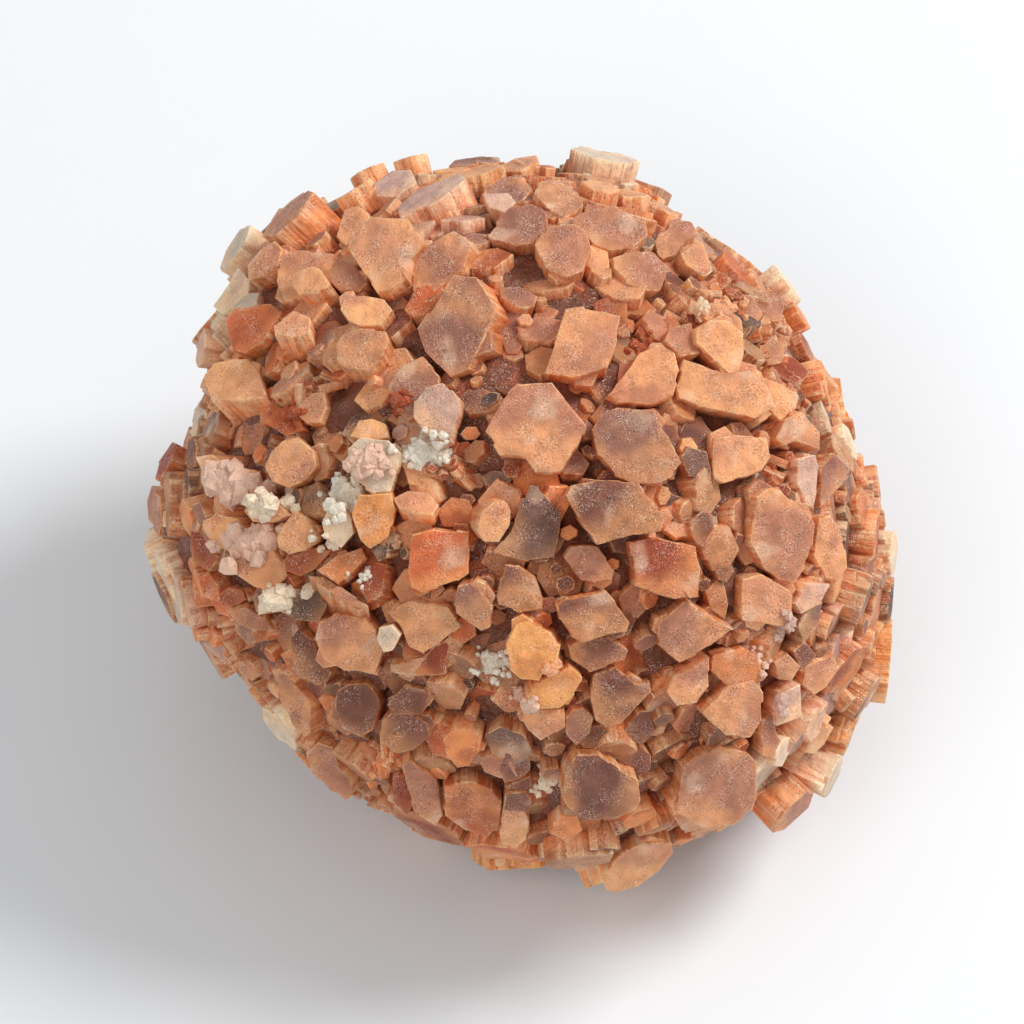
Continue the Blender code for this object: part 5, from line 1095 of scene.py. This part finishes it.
def aragonite_material():
    """Frosted, cloudy ends with a painted glow towards their edges and a painted highlight on the rim,
    finely ribbed orange sides that redden towards the root, painted shade deep in the gaps, and specks that
    are partly dust and partly painted glints.
    """
    s = Shader("aragonite")
    place = s.attribute("place", "Vector")
    seed = s.attribute("seed")
    tone = s.attribute("tone", "Color")
    keep = s.attribute("keep")
    cap = s.attribute("cap")
    edge = s.attribute("edge")
    depth = s.attribute("depth")
    rise = s.attribute("rise")
    split = s.nodes.new("ShaderNodeSeparateXYZ")
    s.put(place, split.inputs[0])
    down = s.math("MULTIPLY", split.outputs[2], -1.0)
    offset = s.nodes.new("ShaderNodeCombineXYZ")
    s.put(s.math("MULTIPLY", seed, 57.0), offset.inputs[0])
    s.put(s.math("MULTIPLY", seed, 131.0), offset.inputs[1])
    own = s.vector("ADD", place, offset.outputs[0])

    # Painted glow: an end turns lighter and more orange towards its edges and its lower side, standing for
    # light that shines through the crystal; its middle keeps a dimmer tint.
    inward = s.range(edge, 0.0, 2.0, 0.0, 0.25)
    rising = s.math("MULTIPLY", rise, 0.3)
    shift = s.range(s.noise(own, 0.13, 0.0), 0.36, 0.64, -0.4, 0.9)
    heart = s.math("ADD", s.math("ADD", inward, rising), shift, clamp=True)
    glowing_end = s.mix(0.42, tone, PAINTED_GLOW)
    middle = s.mix(1.0, tone, HEART_TINT, "MULTIPLY")
    end = s.mix(heart, glowing_end, middle)
    mottle = s.noise(own, 0.22, 1.0)
    stained = s.mix(1.0, tone, STAIN_TINT, "MULTIPLY")
    end = s.mix(s.range(mottle, 0.54, 0.7, 0.0, 0.5), end, stained)
    end = s.mix(s.range(mottle, 0.44, 0.28, 0.0, 0.5), end, CLOUD)
    # Painted highlight: a thin pale line along the end's edge, where the worn rim would catch the light.
    rim = s.range(edge, 0.0, 0.2, 0.5, 0.0)
    rim = s.math("MULTIPLY", rim, s.range(s.noise(own, 0.6, 1.0), 0.5, 0.62))
    end = s.mix(rim, end, RIM_HIGHLIGHT)

    streak_at = s.vector("MULTIPLY", own, (1.0, 1.0, 0.06))
    streak = s.noise(streak_at, 1.3, 3.0, 0.72)
    band = s.noise(streak_at, 0.62, 1.0)
    # The sides next to the end carry some of the same painted glow.
    near_end = s.mix(0.35, tone, PAINTED_GLOW)
    warm = s.mix(s.range(down, 0.1, 2.4), near_end, SIDE_WARM)
    reddening = s.range(s.math("ADD", down, s.math("MULTIPLY", band, 6.0)), 3.2, 9.0)
    warm = s.mix(reddening, warm, SIDE_ROOT)
    side = s.mix(keep, warm, tone)
    pale_band = s.mix(keep, BANDS[0], BANDS[1])
    side = s.mix(s.range(band, 0.5, 0.58, 0.0, 0.5), side, pale_band)
    side = s.mix(s.range(band, 0.46, 0.38, 0.0, 0.5), side, BANDS[2])
    side = s.mix(s.range(streak, 0.5, 0.7, 0.0, 0.65), side, STREAKS[0])
    side = s.mix(s.range(streak, 0.47, 0.3, 0.0, 0.6), side, STREAKS[1])

    colour = s.mix(s.range(keep, 0.9, 0.97), s.mix(cap, side, end), tone)
    blotch = s.noise(own, 0.5, 1.0, 0.6)
    murk = s.range(blotch, 0.3, 0.7, s.range(keep, 0.3, 0.9, 0.82, 0.95), 1.06)
    murk = s.math("MULTIPLY", murk, s.range(seed, 0.0, 1.0, 0.9, 1.1))
    colour = s.mix(1.0, colour, murk, "MULTIPLY")
    # Painted shade: points that lie deep under the cluster's outer surface turn towards a dark red-brown,
    # standing for the shade in the gaps; the red-brown is partly the gaps' own colour.
    sunk = s.math("ADD", depth, s.math("MULTIPLY", blotch, 3.0))
    recess_shade = s.math("MULTIPLY", s.range(sunk, 2.3, 5.4, 0.0, 0.85), s.range(keep, 0.6, 0.97, 1.0, 0.3))
    ground = s.mix(s.range(blotch, 0.35, 0.65), *SHADED_GROUND)
    colour = s.mix(recess_shade, colour, ground)

    patch = s.noise(own, 0.35, 1.0)
    dusty = s.range(patch, 0.4, 0.6, 0.15, 1.0)
    grit = s.noise(own, 4.4, 2.0, 0.7)
    light = s.math("MULTIPLY", s.range(grit, 0.55, 0.7, 0.0, 0.75), dusty)
    colour = s.mix(light, colour, s.mix(0.55, colour, GRIT_PALE))
    dark = s.math("MULTIPLY", s.range(grit, 0.47, 0.34, 0.0, 0.85), dusty)
    dark = s.math("MULTIPLY", dark, s.range(keep, 0.25, 0.7, 1.0, 0.25))
    colour = s.mix(dark, colour, s.mix(1.0, colour, GRIT_TINT, "MULTIPLY"))
    # Tiny white specks: partly dust on the frosted surface, partly painted glints of light.
    specks_and_glints = s.range(s.noise(own, 9.0, 0.0), 0.72, 0.78, 0.0, 0.95)
    specks_and_glints = s.math("MULTIPLY", specks_and_glints, s.range(patch, 0.46, 0.58, 0.1, 1.0))
    colour = s.mix(specks_and_glints, colour, DUST_AND_GLINT)

    ribs = s.noise(streak_at, 3.2, 1.0, 0.65)
    dents = s.noise(own, 0.9, 1.0)
    grain = s.mix(s.math("MULTIPLY", cap, 0.8), ribs, grit)
    coarse = s.math("ADD", s.math("MULTIPLY", grain, 0.5), dents)
    height = s.math("ADD", s.math("MULTIPLY", grit, 0.35), coarse)
    s.set(
        Base_Color=colour,
        Roughness=s.range(grit, 0.4, 0.66, 0.62, 0.22),
        Normal=s.bump(height, 0.9, 0.0005),
        Subsurface_Weight=s.range(keep, 0.5, 0.95, 0.36, 0.1),
        Subsurface_Radius=(1.0, 0.72, 0.58),
        Subsurface_Scale=0.0024,
        Specular_IOR_Level=0.3,
        IOR=1.6,
    )
    return s.material


def floor_material():
    s = Shader("pale_floor")
    where = s.nodes.new("ShaderNodeTexCoord").outputs["Object"]
    shade = s.mix(s.noise(where, 40.0), *FLOOR_SHADES)
    s.set(Base_Color=shade, Roughness=0.6)
    return s.material


STONE_SIZES = (0.35, 0.75)  # a stone's radius, as a share of the size in its row
STONE_OUT = 0.25  # how far its middle stands out, as a share of its radius
STONE_SHARE = (0.7, 1.2)  # how uneven its corners are


def make_stones(skin, core_at, material):
    """Rough stones that lie on the crystals, each sunk a little into what is under it."""
    chance = random.Random(SEED + 3)
    corners = [v.co.copy() for v in skin.vertices]
    ground = BVHTree.FromPolygons(corners, [tuple(face.vertices) for face in skin.polygons])
    low, high = (Vector(corner) for corner in SOLID_BOX)
    verts, faces, marks = [], [], []
    for middle, half, tone, size, count in STONES:
        for _ in range(count):
            spread = min(0.9, abs(chance.gauss(0, 0.42)))
            angle = chance.uniform(0, 2 * math.pi)
            right = middle[0] + half[0] * spread * math.cos(angle)
            up = middle[1] + half[1] * spread * math.sin(angle)
            top = surface_point(right, up, -8.0)
            hit, face_normal, _, _ = ground.ray_cast((core_at + top) * MM, -top)
            if hit is None:
                continue
            radius = size * chance.uniform(*STONE_SIZES) * (1.15 - 0.5 * spread)
            centre = hit + face_normal * radius * STONE_OUT * MM
            if any(not l + radius * MM < c < h - radius * MM for l, c, h in zip(low, centre, high)):
                continue
            body = bmesh.new()
            bmesh.ops.create_icosphere(body, subdivisions=1, radius=radius * MM)
            first = len(verts)
            turn = scatter(1, chance).normalized().to_track_quat("Z", "Y")
            for vertex in body.verts:
                verts.append(centre + turn @ vertex.co * chance.uniform(*STONE_SHARE))
            for face in body.faces:
                faces.append([first + v.index for v in face.verts])
                marks.append((*FINE_TONES[tone][0], 1.0, 1.0, chance.random()))
            body.free()
    mesh = bpy.data.meshes.new("stones")
    mesh.from_pydata(verts, [], faces)
    marks = np.array(marks)
    loops = len(mesh.loops)
    where = np.empty(loops, np.int32)
    mesh.loops.foreach_get("vertex_index", where)
    points = np.array(verts)[where] / MM
    store(mesh, {
        "place": points,
        "edge": np.full(loops, INSIDE),
        "depth": np.zeros(loops),
        "rise": np.zeros(loops),
        "cap": np.ones(len(faces)),
        "seed": np.round(marks[:, 5], 1),
        "keep": marks[:, 4],
        "tone": marks[:, :4],
    })
    mesh.materials.append(material)
    stones = bpy.data.objects.new("rough_stones", mesh)
    bpy.context.scene.collection.objects.link(stones)
    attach(stones, "root")
    print("stones", len(faces) // 20, "triangles", len(faces))


def make_cluster():
    core_at = Vector(CORE_AT)
    main = all_crystals()
    chance = random.Random(SEED + 2)
    growths = [g for crystal in main for g in side_growths(crystal, chance)]
    middling = filling(main, MIDDLING, chance)
    tiny = filling(main + middling, TINY, chance)
    print("main", len(main), "growths", len(growths), "middling", len(middling), "tiny", len(tiny))
    crystals = main + growths + middling + tiny + crust_grains(chance) + spray_needles(chance)
    crystals += underside(chance)
    skin = joined_skin(crystals, core_at, chance)
    low, high = (np.array(corner) for corner in SOLID_BOX)
    for vertex in skin.vertices:
        vertex.co = np.clip(vertex.co, low, high)
    mark_skin(skin, crystals, core_at, chance)
    skin.materials.clear()
    material = aragonite_material()
    skin.materials.append(material)
    make_stones(skin, core_at, material)
    for face in skin.polygons:
        face.material_index = 0
        face.use_smooth = True
    skin.set_sharp_from_angle(angle=math.radians(32))
    cluster = bpy.data.objects.new("crystal_skin", skin)
    bpy.context.scene.collection.objects.link(cluster)
    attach(cluster, "root")
    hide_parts("aragonite_cluster")
    print("crystals", len(crystals), "triangles", sum(len(p.vertices) - 2 for p in skin.polygons))
    return cluster


def area_light(name, place, aim, size, power):
    data = bpy.data.lights.new(name, "AREA")
    data.shape = "DISK"
    data.size = size
    data.energy = power
    light = bpy.data.objects.new(name, data)
    light.location = place
    light.rotation_euler = (Vector(aim) - Vector(place)).to_track_quat("-Z", "Y").to_euler()
    bpy.context.scene.collection.objects.link(light)


# The camera: 9 photo pixels to a millimetre in a frame of 1024 pixels, at the depth of most crystal ends.
FRAME_MM = 1024 / 9
SENSOR = 36.0
LENS = 300.0
FLOOR_HALF = 3.0
WORLD = ((0.96, 0.98, 1.0, 1.0), 0.53)
FOCUS_NEAR = 15.0
AIM_OFF = (-0.89, 0.67)


def make_camera():
    data = bpy.data.cameras.new("camera")
    data.sensor_width = SENSOR
    data.lens = LENS
    data.clip_end = 10.0
    camera = bpy.data.objects.new("camera", data)
    away = FRAME_MM * LENS / SENSOR
    camera.location = (Vector(CORE_AT) + placed(*AIM_OFF, FOCUS_NEAR + away)) * MM
    camera.rotation_euler = (-NEAR).to_track_quat("-Z", "Y").to_euler()
    bpy.context.scene.collection.objects.link(camera)
    bpy.context.scene.camera = camera


def make_stage():
    mesh = bpy.data.meshes.new("floor")
    body = bmesh.new()
    bmesh.ops.create_grid(body, x_segments=1, y_segments=1, size=FLOOR_HALF)
    body.to_mesh(mesh)
    body.free()
    floor = bpy.data.objects.new("floor", mesh)
    floor.location.z = -0.0002
    mesh.materials.append(floor_material())
    bpy.context.scene.collection.objects.link(floor)
    world = bpy.data.worlds.new("studio")
    bpy.context.scene.world = world
    world.use_nodes = True
    background = world.node_tree.nodes["Background"]
    for socket, value in zip(background.inputs, WORLD):
        socket.default_value = value
    area_light("key", (0.62, 0.24, 0.76), (0, 0, 0.03), 0.4, 7.9)
    area_light("front", (-0.35, -0.6, 0.8), (0, 0, 0.03), 0.7, 2.6)
    bpy.context.scene.view_settings.view_transform = "Standard"


make_camera()
make_stage()
make_cluster()
